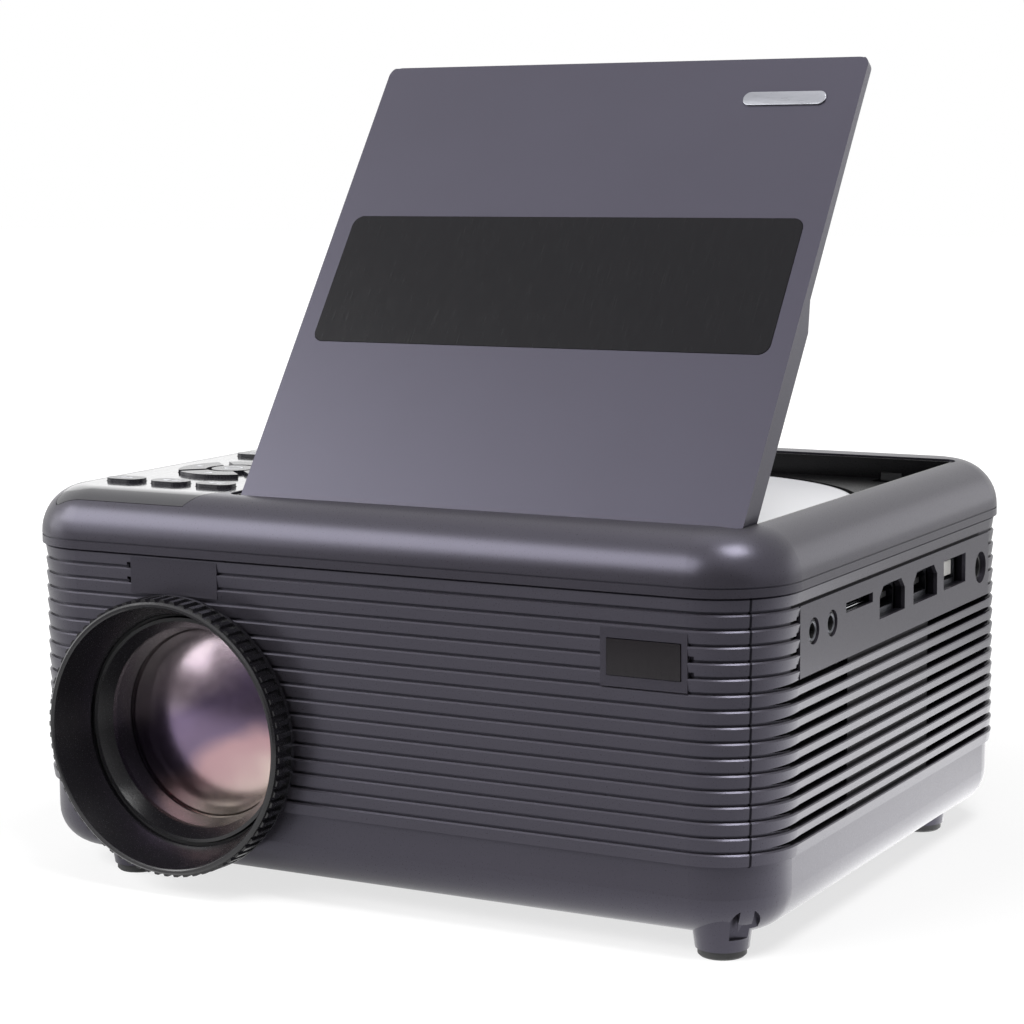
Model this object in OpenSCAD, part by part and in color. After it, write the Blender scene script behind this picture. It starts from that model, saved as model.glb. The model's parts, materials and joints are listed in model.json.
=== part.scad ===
// Projector with a built-in disc player, lid open.
// Millimetres, +Z up, front to -Y. The floor is z = 0, and the origin is the middle of the outline.

/* [Body] */
// Width of the body
body_w = 210; // [205:1:260]
// Depth of the body, without the lens ring
body_d = 170; // [165:1:210]
// Height from the floor to the top face
body_h = 99; // [97:1:110]
// Height of the underside above the floor
base_z = 5; // [4:0.5:8]
// Radius of the four upright corners
corner_r = 20; // [18:0.5:26]
// Radius of the top edge
top_r = 12; // [9:0.5:13]
// Radius of the bottom edge
bottom_r = 10; // [4:0.5:11]
// Thickness of the cover walls
wall = 2.4; // [2:0.1:3]

/* [Ribbed band] */
// Number of lines round the band, the joints at its two edges included
line_count = 18; // [12:1:20]
// Height from one line to the next
line_pitch = 3.64; // [3:0.02:3.7]
// Height of the band's lower edge
band_z = 22.5; // [20:0.5:24]
// How far the slats stand in from the top cover
band_inset = 0.8; // [0.4:0.1:1.2]
// How far the bottom cover stands in from the top cover
base_inset = 2.2; // [0.8:0.1:2.6]
// Thickness of the ribbed wall
band_wall = 2.6; // [2.2:0.1:3.2]
// Depth of a groove
groove_depth = 1.1; // [0.6:0.1:1.3]
// Height of a groove
groove_h = 0.7; // [0.5:0.05:1.2]
// Height of a vent slot
slot_h = 1.6; // [1:0.1:2]
// How far the lower edge of a slat leans in
slat_lean = 0.4; // [0:0.1:0.6]

/* [Lens] */
// Distance of the lens axis from the left side
lens_inset = 50.8; // [48:0.2:60]
// Height of the lens axis
lens_z = 39.8; // [39:0.2:46]
// How far the ring stands out of the body
ring_out = 7.5; // [5:0.5:14]
// Outer radius of the ring's grip
ring_r = 35; // [32:0.5:35]
// Number of grip teeth
tooth_count = 75; // [40:1:90]
// Radius of the lens barrel
barrel_r = 28.6; // [26:0.1:28.6]
// Radius of the front glass
glass_r = 24.6; // [20:0.1:24.6]

/* [Lid] */
// Width of the lid
lid_w = 136.5; // [130:0.5:145]
// Length of the lid, front to back
lid_l = 136; // [132:0.5:140]
// Thickness of the lid's plate
lid_t = 2.5; // [2:0.1:3]
// Distance of the lid from the right side of the body
lid_side = 12.5; // [12.5:0.5:20]
// Distance of the lid's front edge from the front of the body
lid_front = 14; // [13.6:0.2:20]
// Radius of the rolled front edge, which is also the depth of the hinge axis
hinge_r = 4; // [3.6:0.1:4]
// Radius of the hinge pins
pin_r = 1.5; // [1:0.1:1.8]
// Angle of the open lid
lid_angle = 54.6; // [0:0.2:70]

/* [Disc player] */
// Diameter of the disc
disc_d = 120; // [80:1:120]
// Thickness of the disc
disc_t = 1.2; // [1:0.1:1.4]
// Depth of the disc's upper face below the top
disc_depth = 6; // [5.6:0.1:7]
// Travel of the pickup
sled_travel = 33; // [20:1:34]

/* [Controls] */
// Width of the glossy control plate
plate_w = 48; // [46:0.5:60]
// Height of the keys above the plate
key_proud = 0.9; // [0.9:0.1:1.4]
// Travel of the keys
key_travel = 0.8; // [0.3:0.1:0.8]

/* [Feet] */
// Distance of the right feet from the right side
foot_right = 16; // [14:0.5:24]
// Distance of the left feet from the left side
foot_left = 29; // [24:0.5:40]
// Distance of the front feet from the front
foot_front = 12; // [12:0.5:24]
// Distance of the rear feet from the back
foot_back = 30; // [12:0.5:36]
// Radius of the rubber pads
pad_r = 5.7; // [4:0.1:6.5]
// Thickness of the rubber pads
pad_t = 2; // [1:0.1:3]

/* [Hidden] */
$fn = 64;
eps = 0.01;

// Clearances
run_gap = 0.08;   // radial, between a shaft and its bore
slide_gap = 0.2;  // between a key and its hole
seam_gap = 0.15;  // round a cover's tongue or an inlay
lid_gap = 0.5;    // between the lid and the walls of the bay

// Body
front_y = -body_d / 2;
back_y = body_d / 2;
side_x = body_w / 2;
body_y = ring_out / 2;
line_top_z = band_z + (line_count - 1) * line_pitch;
roof_z = body_h - wall;
floor_z = base_z + wall;
face_y = front_y + band_inset;
face_x = side_x - band_inset;
inner_y = back_y - band_inset - band_wall;
inner_x = side_x - band_inset - band_wall;
tongue_t = 1.5;
tongue_h = 2;
boss_x = side_x - 16;
boss_y = back_y - 12;
boss_r = 4.5;
screw_r = 1.5;
screw_head_r = 2.8;
lug_x = side_x - wall - 4.2;
lug_y = back_y - corner_r + 1;
lug_r = 3.4;
lug_z = line_top_z - tongue_h - 0.3;
lug_h = 4.4;
strap_w = 7.4;
strap_h = 7.6;
strap_depth = 4;
strap_post_w = 3.4;
post_z = band_z + tongue_h;
post_h = 26;
screw_seat_z = 12;
foot_places = [for (x = [foot_left - side_x, side_x - foot_right],
    y = [front_y + foot_front, back_y - foot_back]) [x, y]];
foot_rise = 3;      // of a foot's boss above the floor, where the base curves up
insert_r = 4.6;
insert_h = 9;
tripod_r = 3.175;   // for a quarter-inch tripod screw
speaker_y = front_y + 39;
speaker_z = 44.4;
speaker_size = 38;
function line_z(n) = band_z + (line_count - n) * line_pitch;

// Ports on the right side, as distances from the front of the body
port_y0 = front_y + 21;
port_y1 = back_y - 21;
port_top_z = line_z(2);
port_base_z = line_z(7);
port_mid_z = 73.6;
port_hole_r = 3.15;
plug_r = 1.75;
phones_y = front_y + 29;
av_y = front_y + 40;
card_y = front_y + 57;
card_z = 75.8;
card_w = 17;
card_h = 2.4;
video_y = [front_y + 78.5, front_y + 101.5];
video_w = 17;
video_h = 8;
usb_y = front_y + 123;
usb_w = 16.4;
usb_h = 7.6;
power_y = front_y + 143;
power_z = 71.8;
power_hole_r = 4.2;
power_plug_r = 2.75;
vent_y = [[port_y0 + 1, front_y + 53], [front_y + 107, port_y1 - 1]];
slot_tip_l = 13;

// Pads on the front
window_w = 18.5;
window_h = 8.4;
window_x = side_x - 30.3;
window_z = 69.4;
window_pad_w = 21.8;
focus_pad_w = 26;
focus_pad_x = -side_x + 50.4;
groove_end = 1.4;

// Lens
lens_x = -side_x + lens_inset;
rim_t = ring_out + band_inset;
ring_gap = band_inset + 0.3;
sleeve_r = ring_r - 3;
funnel_r = barrel_r + 0.9;
barrel_front_y = face_y + 3.2;
barrel_l = 31;
glass_back = 10.6;

// Light engine, from front to back
engine_w = 87;
engine_h = 60;
engine_wall = 1.8;
engine_y0 = front_y + 41.5;
engine_y1 = front_y + 119;
holder_y0 = front_y + 19;
sink_base = 4;
sink_l = 31.5;
fan_size = 60;
fan_t = 10;
fan_r = 28.5;
// the fan stands clear of the curve inside the bottom cover
curve_r = bottom_r - wall;
curve_drop = max(0, curve_r - (lens_z - fan_size / 2 - floor_z));
curve_in = curve_r - sqrt(curve_r * curve_r - curve_drop * curve_drop);
fan_y = min(inner_y, back_y - base_inset - wall - curve_in) - fan_t - 0.3;

// Boards
board_t = 1.6;
board_z = 65.4;
board_x0 = side_x - 109;
board_x1 = side_x - 7.6;
keyboard_z = body_h - 8.4;

// Lid and hinge
lid_x1 = side_x - lid_side;
lid_x0 = lid_x1 - lid_w;
lid_x = (lid_x0 + lid_x1) / 2;
lid_y0 = front_y + lid_front;
lid_y1 = lid_y0 + lid_l;
hinge_y = lid_y0 + hinge_r;
hinge_z = body_h - hinge_r;
notch_w = 2.5;
bearing_r = pin_r + 1.1;
skirt_t = 1.6;
skirt_h = 7.3;
skirt_bend = 65;
skirt_end_h = 3.2;
hook_x = lid_x1 - 16.5;
hook_y = lid_y1 - 2.2;
hook_w = 5.6;
toe_z = body_h - 8.4;
toe_h = 1.8;
catch_travel = 2.2;
catch_w = 11.2;
catch_l = 2.6;
catch_nose_w = 6;
catch_z = toe_z + toe_h + 0.15;
catch_h = 2.2;
catch_box_l = 8.2;
roll_t = 1.2;
spring_wire = 0.35;
spring_l = 5.4;

// Disc bay
bay_wall = 1.6;
bay_x0 = lid_x0 - lid_gap;
bay_x1 = lid_x1 + lid_gap;
bay_y0 = lid_y0 - lid_gap;
bay_y1 = lid_y1 + lid_gap;
bay_rim_z = body_h - 0.5;
deck_z = body_h - disc_depth;
deck_t = 1.8;
well_z = deck_z - disc_t - 1.6;
disc_x = lid_x + 2.5;
disc_y = (lid_y0 + lid_y1) / 2 + 3;
well_r = disc_d / 2 + 1.8;
disc_hole_r = 7.5;
seat_z = deck_z - disc_t;

// Traverse under the deck
traverse_z = deck_z - 14;
traverse_t = 1.8;
sled_w = 34;
sled_l = 20;
sled_z = well_z - deck_t - 6.4;
sled_h = 6;
sled_y = disc_y + 25;
lens_head_r = 4.2;
rod_r = 1.5;
rod_dx = 20;
rod_z = sled_z + 2.6;
rod_y0 = disc_y + 7;
rod_y1 = sled_y + sled_travel + sled_l / 2 + 4;
screw_dx = 27;
motor_r = rod_z - traverse_z - traverse_t - 0.3;

// Control plate
plate_t = 1.2;
plate_x1 = lid_x0 - lid_gap - bay_wall - 0.7;
plate_x0 = plate_x1 - plate_w;
plate_x = (plate_x0 + plate_x1) / 2;
plate_y0 = front_y + 4.5;
plate_y1 = lid_y1 - 1;
plate_cut_w = 7.2;
plate_cut_l = 13.5;
key_top_z = body_h + key_proud;
key_flange_z = roof_z - 0.2;
key_flange_t = 1;
switch_h = 1.2;
key_base_z = keyboard_z + board_t + switch_h + key_travel + 0.1;
row_key = [11, 6.4];
row_pitch = 14;
transport_y = front_y + 23;
nav_y = front_y + 51;
nav_r = 14.5;
nav_inner_r = 7.2;
ok_r = 5.8;
menu_row_y = front_y + 82;

// ---------------------------------------------------------------- helpers

// Moves the body to the middle of the whole outline
module placed() {
    translate([0, body_y, 0]) children();
}

// Sweeps a profile (x outward from the corner's centre, y up) round the body's plan
module round_body() {
    for (turn = [0, 180])
        rotate(turn) {
            translate([side_x - corner_r, back_y - corner_r, 0])
                rotate_extrude(angle = 90) children();
            translate([-side_x + corner_r, back_y - corner_r, 0])
                rotate(90) rotate_extrude(angle = 90) children();
            translate([side_x - corner_r, 0, 0])
                rotate([90, 0, 0])
                linear_extrude(body_d - 2 * corner_r, center = true) children();
            translate([0, back_y - corner_r, 0])
                rotate([90, 0, 90])
                linear_extrude(body_w - 2 * corner_r, center = true) children();
        }
}

// A slab inside the four corner centres
module core(z, h) {
    translate([-side_x + corner_r, front_y + corner_r, z])
        cube([body_w - 2 * corner_r, body_d - 2 * corner_r, h]);
}

// Profile of a cover: a wall r out, h tall, with the edge rounded at its top
module edge_profile(r, h, edge_r) {
    square([r, h - edge_r]);
    translate([0, h - edge_r - eps]) square([r - edge_r, edge_r + eps]);
    translate([r - edge_r, h - edge_r]) intersection() {
        circle(edge_r);
        translate([-eps, -eps]) square(edge_r + 2 * eps);
    }
}

module cover_profile(inset) {
    translate([0, line_top_z])
        edge_profile(corner_r - inset, body_h - line_top_z - inset, top_r - inset);
}

// The solid under the top cover's skin, the skin set in by inset
module cover_solid(inset) {
    round_body() cover_profile(inset);
    core(line_top_z, body_h - line_top_z - inset);
}

// Everything within the walls from z up, the boundary set in by inset
module inside(inset, z, h) {
    round_body() translate([0, z]) square([corner_r - inset, h]);
    core(z, h);
}

module rounded_rect(x0, y0, x1, y1, r) {
    translate([x0 + r, y0]) square([x1 - x0 - 2 * r, y1 - y0]);
    translate([x0, y0 + r]) square([x1 - x0, y1 - y0 - 2 * r]);
    for (x = [x0 + r, x1 - r], y = [y0 + r, y1 - r])
        translate([x, y]) circle(r);
}

// Places its children at the four corners, mirrored, so that +x and +y point outwards
module at_corners() {
    for (sx = [0, 1], sy = [0, 1])
        mirror([sx, 0, 0]) mirror([0, sy, 0]) children();
}

// A solid of revolution round an axis that runs back from (x, y, z)
module turned(x, y, z) {
    translate([x, y, z]) rotate([-90, 0, 0]) rotate_extrude() children();
}

// A round bar that runs back from (x, y, z)
module bar_y(x, y, z, r, l) {
    translate([x, y, z]) rotate([-90, 0, 0]) cylinder(r = r, h = l);
}

// A round bar that runs right from (x, y, z)
module bar_x(x, y, z, r, l) {
    translate([x, y, z]) rotate([0, 90, 0]) cylinder(r = r, h = l);
}

// A helical spring from z = 0 up, as one unbroken tube of six sides, whose first end
// runs on straight, square to its radius, for the length of leg
module coil(r, wire_r, turns, h, leg = 0) {
    steps = 14;
    sides = 6;
    rings = turns * steps + 1;
    points = [for (i = [0:rings], k = [0:sides - 1])
        let (n = max(i - 1, 0), a = 360 * n / steps, b = 360 * k / sides, q = r + wire_r * cos(b))
            [q * cos(a), q * sin(a) - (i == 0 ? leg + wire_r : 0), h * n / (rings - 1) + wire_r * sin(b)]];
    side_faces = [for (i = [0:rings - 1], k = [0:sides - 1])
        let (n = (k + 1) % sides, a = i * sides, b = a + sides)
            each [[a + k, b + k, b + n], [a + k, b + n, a + n]]];
    ends = [for (k = [1:sides - 2])
        each [[0, k, k + 1], [rings * sides, rings * sides + k + 1, rings * sides + k]]];
    polyhedron(points, concat(side_faces, ends));
}

// ---------------------------------------------------------------- casing

// Wall of the band: a groove at each line, each slat leaning in towards its lower edge
module band_profile() {
    r = corner_r - band_inset;
    up = groove_h - 0.25;
    slats = [for (i = [0:line_count - 2])
        let (z0 = band_z + i * line_pitch, z1 = z0 + line_pitch)
            each [[r - groove_depth, z0 + up], [r - slat_lean, z0 + up], [r, z1 - 0.6],
                [r - 0.35, z1 - 0.25], [r - groove_depth, z1 - 0.25]]];
    polygon(concat([[r - band_wall, band_z], [r - groove_depth, band_z]], slats,
        [[r - groove_depth, line_top_z], [r - band_wall, line_top_z]]));
}

// Wide slots on a side from y0 to y1, through the wall or only as grooves
module side_slots(y0, y1, depth, first, last) {
    for (n = [first:last])
        translate([face_x - depth, y0, line_z(n) - 0.35])
            cube([depth + 1, y1 - y0, slot_h]);
}

// The ends of a side's slots, from a point at y0 to full height at y1
module slot_tips(y0, y1, depth, first, last) {
    for (n = [first:last])
        translate([face_x - depth, 0, line_z(n) - 0.35]) rotate([90, 0, 90])
            linear_extrude(depth + 1) polygon([[y0, slot_h / 2], [y1, 0], [y1, slot_h]]);
}

module rear_slots(x0, x1, first, last) {
    for (n = [first:last])
        translate([x0, inner_y - 1, line_z(n) - 0.35])
            cube([x1 - x0, band_wall + 3, slot_h]);
}

// Opening of a video socket: its lower corners are drawn in
module video_outline(w, h) {
    c = h * 0.32;
    polygon([[-w / 2, h / 2 - c], [-w / 2 + c, h / 2], [w / 2 - c, h / 2], [w / 2, h / 2 - c],
        [w / 2, -h / 2], [-w / 2, -h / 2]]);
}

// Turns an outline (x back, y up) to face the right side and pushes it through the wall
module port(y, z, depth = band_wall + 2) {
    translate([face_x + 1, y, z]) rotate([90, 0, -90]) mirror([1, 0, 0])
        linear_extrude(depth) children();
}

module ribbed_frame() {
    color("#3c3b41") placed() {
        difference() {
            union() {
                round_body() band_profile();
                // flat pads for the remote window, the focus marks and the ports
                translate([window_x - window_pad_w / 2, face_y, line_z(7)])
                    cube([window_pad_w, band_wall, line_z(3) - line_z(7) - 1]);
                translate([focus_pad_x - focus_pad_w / 2, face_y, line_z(4) + 1])
                    cube([focus_pad_w, band_wall, line_z(1) - line_z(4) - 2]);
                translate([face_x - band_wall, port_y0, port_base_z + groove_h - 0.25])
                    cube([band_wall, port_y1 - port_y0, port_top_z - port_base_z - groove_h]);
                // corner posts for the screws
                at_corners() {
                    translate([boss_x, boss_y, post_z]) cylinder(r = boss_r, h = post_h);
                    intersection() {
                        translate([boss_x, boss_y - 1.5, post_z]) cube([30, 3, post_h]);
                        inside(band_inset + band_wall - 0.6, post_z - 1, post_h + 2);
                    }
                }
                // lugs for the top cover
                at_corners() {
                    translate([lug_x, lug_y, lug_z - lug_h]) cylinder(r = lug_r, h = lug_h);
                    translate([lug_x, lug_y - lug_r, lug_z - lug_h])
                        cube([inner_x + 0.6 - lug_x, 2 * lug_r, lug_h]);
                }
            }
            // lens
            bar_y(lens_x, front_y - 1, lens_z, sleeve_r + run_gap, band_wall + 6);
            // remote window
            translate([window_x - window_w / 2 - seam_gap, face_y - 1, window_z - window_h / 2 - seam_gap])
                cube([window_w + 2 * seam_gap, 2.2, window_h + 2 * seam_gap]);
            translate([window_x - 5, face_y - 1, window_z - 2.5]) cube([10, 6, 5]);
            // ends of the grooves at the pads
            for (n = [2, 3])
                translate([focus_pad_x - focus_pad_w / 2 - groove_end, face_y - 1, line_z(n) - 0.3])
                    cube([groove_end, 2.6, 1.5]);
            for (n = [5, 6])
                translate([window_x + window_pad_w / 2, face_y - 1, line_z(n) - 0.3])
                    cube([groove_end, 2.6, 1.5]);
            for (n = [3:6])
                translate([face_x - 1.6, port_y0 - groove_end, line_z(n) - 0.3])
                    cube([4, groove_end, 1.5]);
            // ports
            for (y = [phones_y, av_y]) bar_x(inner_x - 1, y, port_mid_z, port_hole_r, band_wall + 3);
            bar_x(inner_x - 1, power_y, power_z, power_hole_r, band_wall + 3);
            port(card_y, card_z) square([card_w, card_h], center = true);
            for (y = video_y) port(y, port_mid_z) video_outline(video_w, video_h);
            port(usb_y, port_mid_z) square([usb_w, usb_h], center = true);
            // vents: open at the front and the back of each side, only grooves between
            for (s = [0, 1]) mirror([s, 0, 0]) {
                for (v = vent_y) side_slots(v[0], v[1], band_wall + 1, 7, line_count - 1);
                slot_tips(vent_y[0][0] - slot_tip_l, vent_y[0][0] + eps, band_wall + 1, 7, line_count - 1);
                slot_tips(vent_y[1][1] + slot_tip_l, vent_y[1][1] - eps, band_wall + 1, 7, line_count - 1);
                side_slots(vent_y[0][1], vent_y[1][0], groove_depth + 0.3, 7, line_count - 1);
            }
            rear_slots(lens_x - fan_r, lens_x + fan_r, 7, line_count - 2);
            // screw holes
            at_corners() {
                translate([boss_x, boss_y, post_z - 1]) cylinder(r = screw_r - 0.2, h = 17);
                translate([lug_x, lug_y, lug_z - lug_h - 1]) cylinder(r = screw_r + 0.2, h = lug_h + 2);
            }
        }
    }
}

module base_profile() {
    r = corner_r - base_inset;
    translate([0, band_z]) mirror([0, 1]) difference() {
        edge_profile(r, band_z - base_z, bottom_r);
        translate([-1, -1]) edge_profile(r - wall + 1, band_z - floor_z + 1, bottom_r - wall);
    }
    tongue_profile(band_z - 4, 4 + tongue_h, band_z - 4, r - 0.6);
}

// Tongue behind the ribbed wall, from z up, and the shelf that joins it to its cover, which ends at reach
module tongue_profile(z, h, shelf_z, reach) {
    x = corner_r - band_inset - band_wall - seam_gap - tongue_t;
    translate([x, z]) square([tongue_t, h]);
    translate([x, shelf_z]) square([reach - x, 1.2]);
}

// The outside of the bottom cover as a solid
module base_solid() {
    round_body() translate([0, band_z]) mirror([0, 1])
        edge_profile(corner_r - base_inset, band_z - base_z, bottom_r);
    core(base_z, band_z - base_z);
}

// Puts its children at the strap's corner, x outward from the corner's centre
module at_strap() {
    translate([side_x - corner_r, front_y + corner_r, base_z]) rotate(-45) children();
}

// An arched pocket, open below, with a post at its mouth
module strap_pocket() {
    r0 = corner_r - base_inset - strap_depth;
    arch_z = strap_h - strap_w / 2;
    at_strap() difference() {
        union() {
            translate([r0, -strap_w / 2, 0]) cube([strap_depth + 3, strap_w, arch_z]);
            translate([r0, 0, arch_z]) rotate([0, 90, 0]) cylinder(r = strap_w / 2, h = strap_depth + 3);
        }
        translate([corner_r - base_inset - 2.4, -strap_post_w / 2, -2]) cube([6, strap_post_w, strap_h + 4]);
    }
}

module bottom_cover() {
    color("#39383e") placed() {
        difference() {
            union() {
                round_body() base_profile();
                core(base_z, wall);
                for (p = foot_places) translate([p[0], p[1], pad_t])
                    cylinder(r1 = pad_r + 0.6, r2 = pad_r + 1.8, h = floor_z - pad_t + foot_rise);
                at_corners() translate([boss_x, boss_y, floor_z - eps])
                    cylinder(r = boss_r, h = post_z - floor_z);
                // block behind the strap pocket
                intersection() {
                    base_solid();
                    at_strap() translate([corner_r - base_inset - strap_depth - 1.6, -strap_w / 2 - 1.6, 0])
                        cube([strap_depth + 6, strap_w + 3.2, strap_h + 2]);
                }
                // boss of the tripod insert
                translate([0, 0, base_z]) cylinder(r = insert_r + 2.9, h = insert_h + 2);
                // posts that carry the main board
                for (x = [board_x0 + 6, board_x1 - 20], y = [front_y + 24, back_y - 16])
                    translate([x, y, floor_z - eps]) cylinder(r = 3.5, h = board_z - floor_z);
                // seats of the light engine
                for (y = [engine_y0 + 12, engine_y1 - 16])
                    translate([lens_x - engine_w / 2 + 6, y, floor_z - eps])
                        cube([engine_w - 12, 4, lens_z - engine_h / 2 - floor_z]);
            }
            strap_pocket();
            at_corners() translate([boss_x, boss_y, 0]) {
                cylinder(r = screw_head_r + 0.3, h = screw_seat_z);
                cylinder(r = screw_r + 0.2, h = 40);
            }
            for (p = foot_places) translate([p[0], p[1], 0]) cylinder(r = pad_r + 0.1, h = pad_t + 0.8);
            translate([0, 0, base_z - 1]) cylinder(r = insert_r, h = insert_h + 1);
            // intake slots under the board
            for (i = [0:7])
                translate([side_x - 80 + i * 7, -22, base_z - 1]) cube([2.2, 44, wall + 2]);
            // arch round the focus ring, wider where its rear lip snaps in
            bar_y(lens_x, front_y - 1, lens_z, sleeve_r + run_gap, 20);
            bar_y(lens_x, face_y + band_wall - 0.2, lens_z, sleeve_r + 1.1, 10);
            // gaps in the tongue for the fan and the speaker
            translate([lens_x - fan_size / 2 - 0.5, inner_y - 4, band_z - 5]) cube([fan_size + 1, 4.3, 12]);
            translate([inner_x - 4, speaker_y - speaker_size / 2 - 0.5, band_z - 5])
                cube([4.3, speaker_size + 1, 12]);
        }
    }
}

// Outline of the control plate, its front right corner cut off, grown by grow
module plate_outline(grow) {
    difference() {
        rounded_rect(plate_x0 - grow, plate_y0 - grow, plate_x1 + grow, plate_y1 + grow, 3 + grow);
        translate([plate_x1 - plate_cut_w, plate_y0]) rotate(atan2(plate_cut_l, plate_cut_w))
            translate([-20, -40 - grow]) square([80, 40]);
    }
}

module plate_layer(inset_top, inset_low, grow) {
    intersection() {
        difference() {
            cover_solid(inset_top);
            translate([0, 0, -eps]) cover_solid(inset_low);
        }
        translate([0, 0, body_h - top_r]) linear_extrude(top_r + 4) plate_outline(grow);
    }
}

// Places of the row keys: [x, y]
row_keys = [for (i = [-1:1]) [plate_x + i * row_pitch, transport_y]];
menu_keys = [for (i = [-1:1]) [plate_x + i * row_pitch, menu_row_y]];

module pill(w, h, grow = 0) {
    r = h / 2 + grow;
    square([w - h, 2 * r], center = true);
    for (s = [-1, 1]) translate([s * (w - h) / 2, 0]) circle(r);
}

module nav_outline(turn, grow = 0) {
    cut = 1.4 - grow;
    rotate(turn) intersection() {
        difference() {
            circle(nav_r + grow);
            circle(nav_inner_r - grow);
        }
        translate([cut, cut]) square(nav_r + 4);
    }
}

module key_holes(z0, z1) {
    translate([0, 0, z0]) linear_extrude(z1 - z0) {
        for (k = concat(row_keys, menu_keys)) translate(k) pill(row_key[0], row_key[1], slide_gap);
        translate([plate_x, nav_y]) circle(ok_r + slide_gap);
        for (turn = [45:90:315]) translate([plate_x, nav_y]) nav_outline(turn, slide_gap);
    }
}

module top_cover() {
    color("#3f3e45") placed() {
        difference() {
            union() {
                round_body() {
                    difference() {
                        cover_profile(0);
                        translate([-1, -1]) translate([0, line_top_z])
                            edge_profile(corner_r - wall + 1, body_h - line_top_z - wall + 1, top_r - wall);
                        // fine line round the rim, above the seam
                        translate([corner_r - 0.3, line_top_z + 2]) square([1, 0.4]);
                    }
                    tongue_profile(line_top_z - tongue_h, tongue_h + 1.2, line_top_z, corner_r - 1);
                }
                core(roof_z, wall);
                at_corners() intersection() {
                    translate([lug_x, lug_y, lug_z]) cylinder(r = lug_r - 0.2, h = roof_z - lug_z + 1);
                    cover_or_below();
                }
                // posts that carry the key board
                for (x = [plate_x - 20, plate_x + 20], y = [front_y + 37, plate_y1 - 8])
                    translate([x, y, keyboard_z + board_t]) cylinder(r = 2.2, h = roof_z - keyboard_z - board_t + 1);
            }
            // bay
            translate([0, 0, body_h - 8]) linear_extrude(10)
                rounded_rect(bay_x0 - bay_wall - 0.15, bay_y0 - bay_wall - 0.15,
                    bay_x1 + bay_wall + 0.15, bay_y1 + bay_wall + 0.15, 4);
            // recess of the control plate, with the key holes
            plate_layer(-0.5, plate_t + 0.1, seam_gap);
            key_holes(body_h - 8, body_h + 1);
            at_corners() translate([lug_x, lug_y, lug_z - 1]) cylinder(r = screw_r - 0.2, h = 7);
        }
    }
}

// The space under the top cover's skin, carried on down behind the ribbed wall
module cover_or_below() {
    cover_solid(wall - 0.6);
    inside(band_inset + band_wall + 0.3, lug_z - 1, line_top_z - lug_z + 2);
}

module control_panel() {
    color("#1b1b20") placed() difference() {
        plate_layer(0, plate_t, 0);
        key_holes(body_h - 4, body_h + 1);
    }
}

module remote_window() {
    color("#101014") placed()
        translate([window_x - window_w / 2, face_y - 0.2, window_z - window_h / 2])
        cube([window_w, 1.4, window_h]);
}

module remote_receiver() {
    color("#26262a") placed() {
        translate([window_x - 2.8, face_y + 1.4, window_z - 2.2]) cube([5.6, 3.2, 4.4]);
        translate([window_x - 8, face_y + band_wall + 0.4, window_z - 6]) difference() {
            cube([16, 1.6, 12]);
            translate([5, -1, 3.6]) cube([6, 4, 4.8]);
        }
        translate([window_x - 3, face_y + band_wall + 0.2, window_z - 2.4]) cube([6, 1.8, 4.8]);
    }
}

module rubber_feet() {
    color("#1a1a1c") placed()
        for (p = foot_places) translate([p[0], p[1], 0]) {
            cylinder(r1 = pad_r - 0.5, r2 = pad_r, h = 0.5);
            translate([0, 0, 0.5]) cylinder(r = pad_r, h = pad_t + 0.3);
        }
}

module tripod_insert() {
    color("#b59a56") placed() translate([0, 0, base_z]) difference() {
        cylinder(r = insert_r, h = insert_h);
        translate([0, 0, -1]) cylinder(r = tripod_r, h = insert_h + 0.5);
    }
}

module case_screw(l) {
    translate([0, 0, -2]) cylinder(r = screw_head_r, h = 2);
    translate([0, 0, -eps]) cylinder(r = screw_r - 0.2, h = l);
}

module case_screws() {
    color("#8f9196") placed() at_corners() {
        translate([boss_x, boss_y, screw_seat_z]) case_screw(post_z - screw_seat_z + 12);
        translate([lug_x, lug_y, lug_z - lug_h]) case_screw(lug_h + 5);
    }
}

// ---------------------------------------------------------------- lens

// Half-section of the ring (x from the axis, y forward from the band's face)
module ring_section() {
    polygon([[ring_r, ring_gap], [ring_r, ring_gap + 1.1], [ring_r - 1.6, ring_gap + 1.1],
        [ring_r - 1.6, rim_t - 1.2], [ring_r - 0.8, rim_t - 1.2], [ring_r - 0.8, rim_t - 0.5],
        [ring_r - 1.3, rim_t], [ring_r - 1.9, rim_t], [ring_r - 2.2, rim_t - 0.3],
        [funnel_r, -band_wall], [funnel_r, -band_wall - 1.1], [sleeve_r + 0.6, -band_wall - 1.1],
        [sleeve_r + 0.6, -band_wall - 0.2], [sleeve_r, -band_wall - 0.2], [sleeve_r, ring_gap]]);
}

module focus_ring() {
    tooth = 360 / tooth_count;
    color("#161618") placed()
        translate([lens_x, face_y, lens_z]) rotate([90, 0, 0]) {
            rotate_extrude() ring_section();
            // grip between the flange and the smooth rim
            translate([0, 0, ring_gap + 0.9]) linear_extrude(rim_t - ring_gap - 1.9) difference() {
                polygon([for (i = [0:tooth_count - 1], corner = [[0, -0.7], [0.12, 0], [0.5, 0], [0.62, -0.7]])
                    let (a = tooth * (i + corner[0]), r = ring_r + corner[1] - 0.1)
                        [r * cos(a), r * sin(a)]]);
                circle(ring_r - 2);
            }
        }
}

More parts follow.
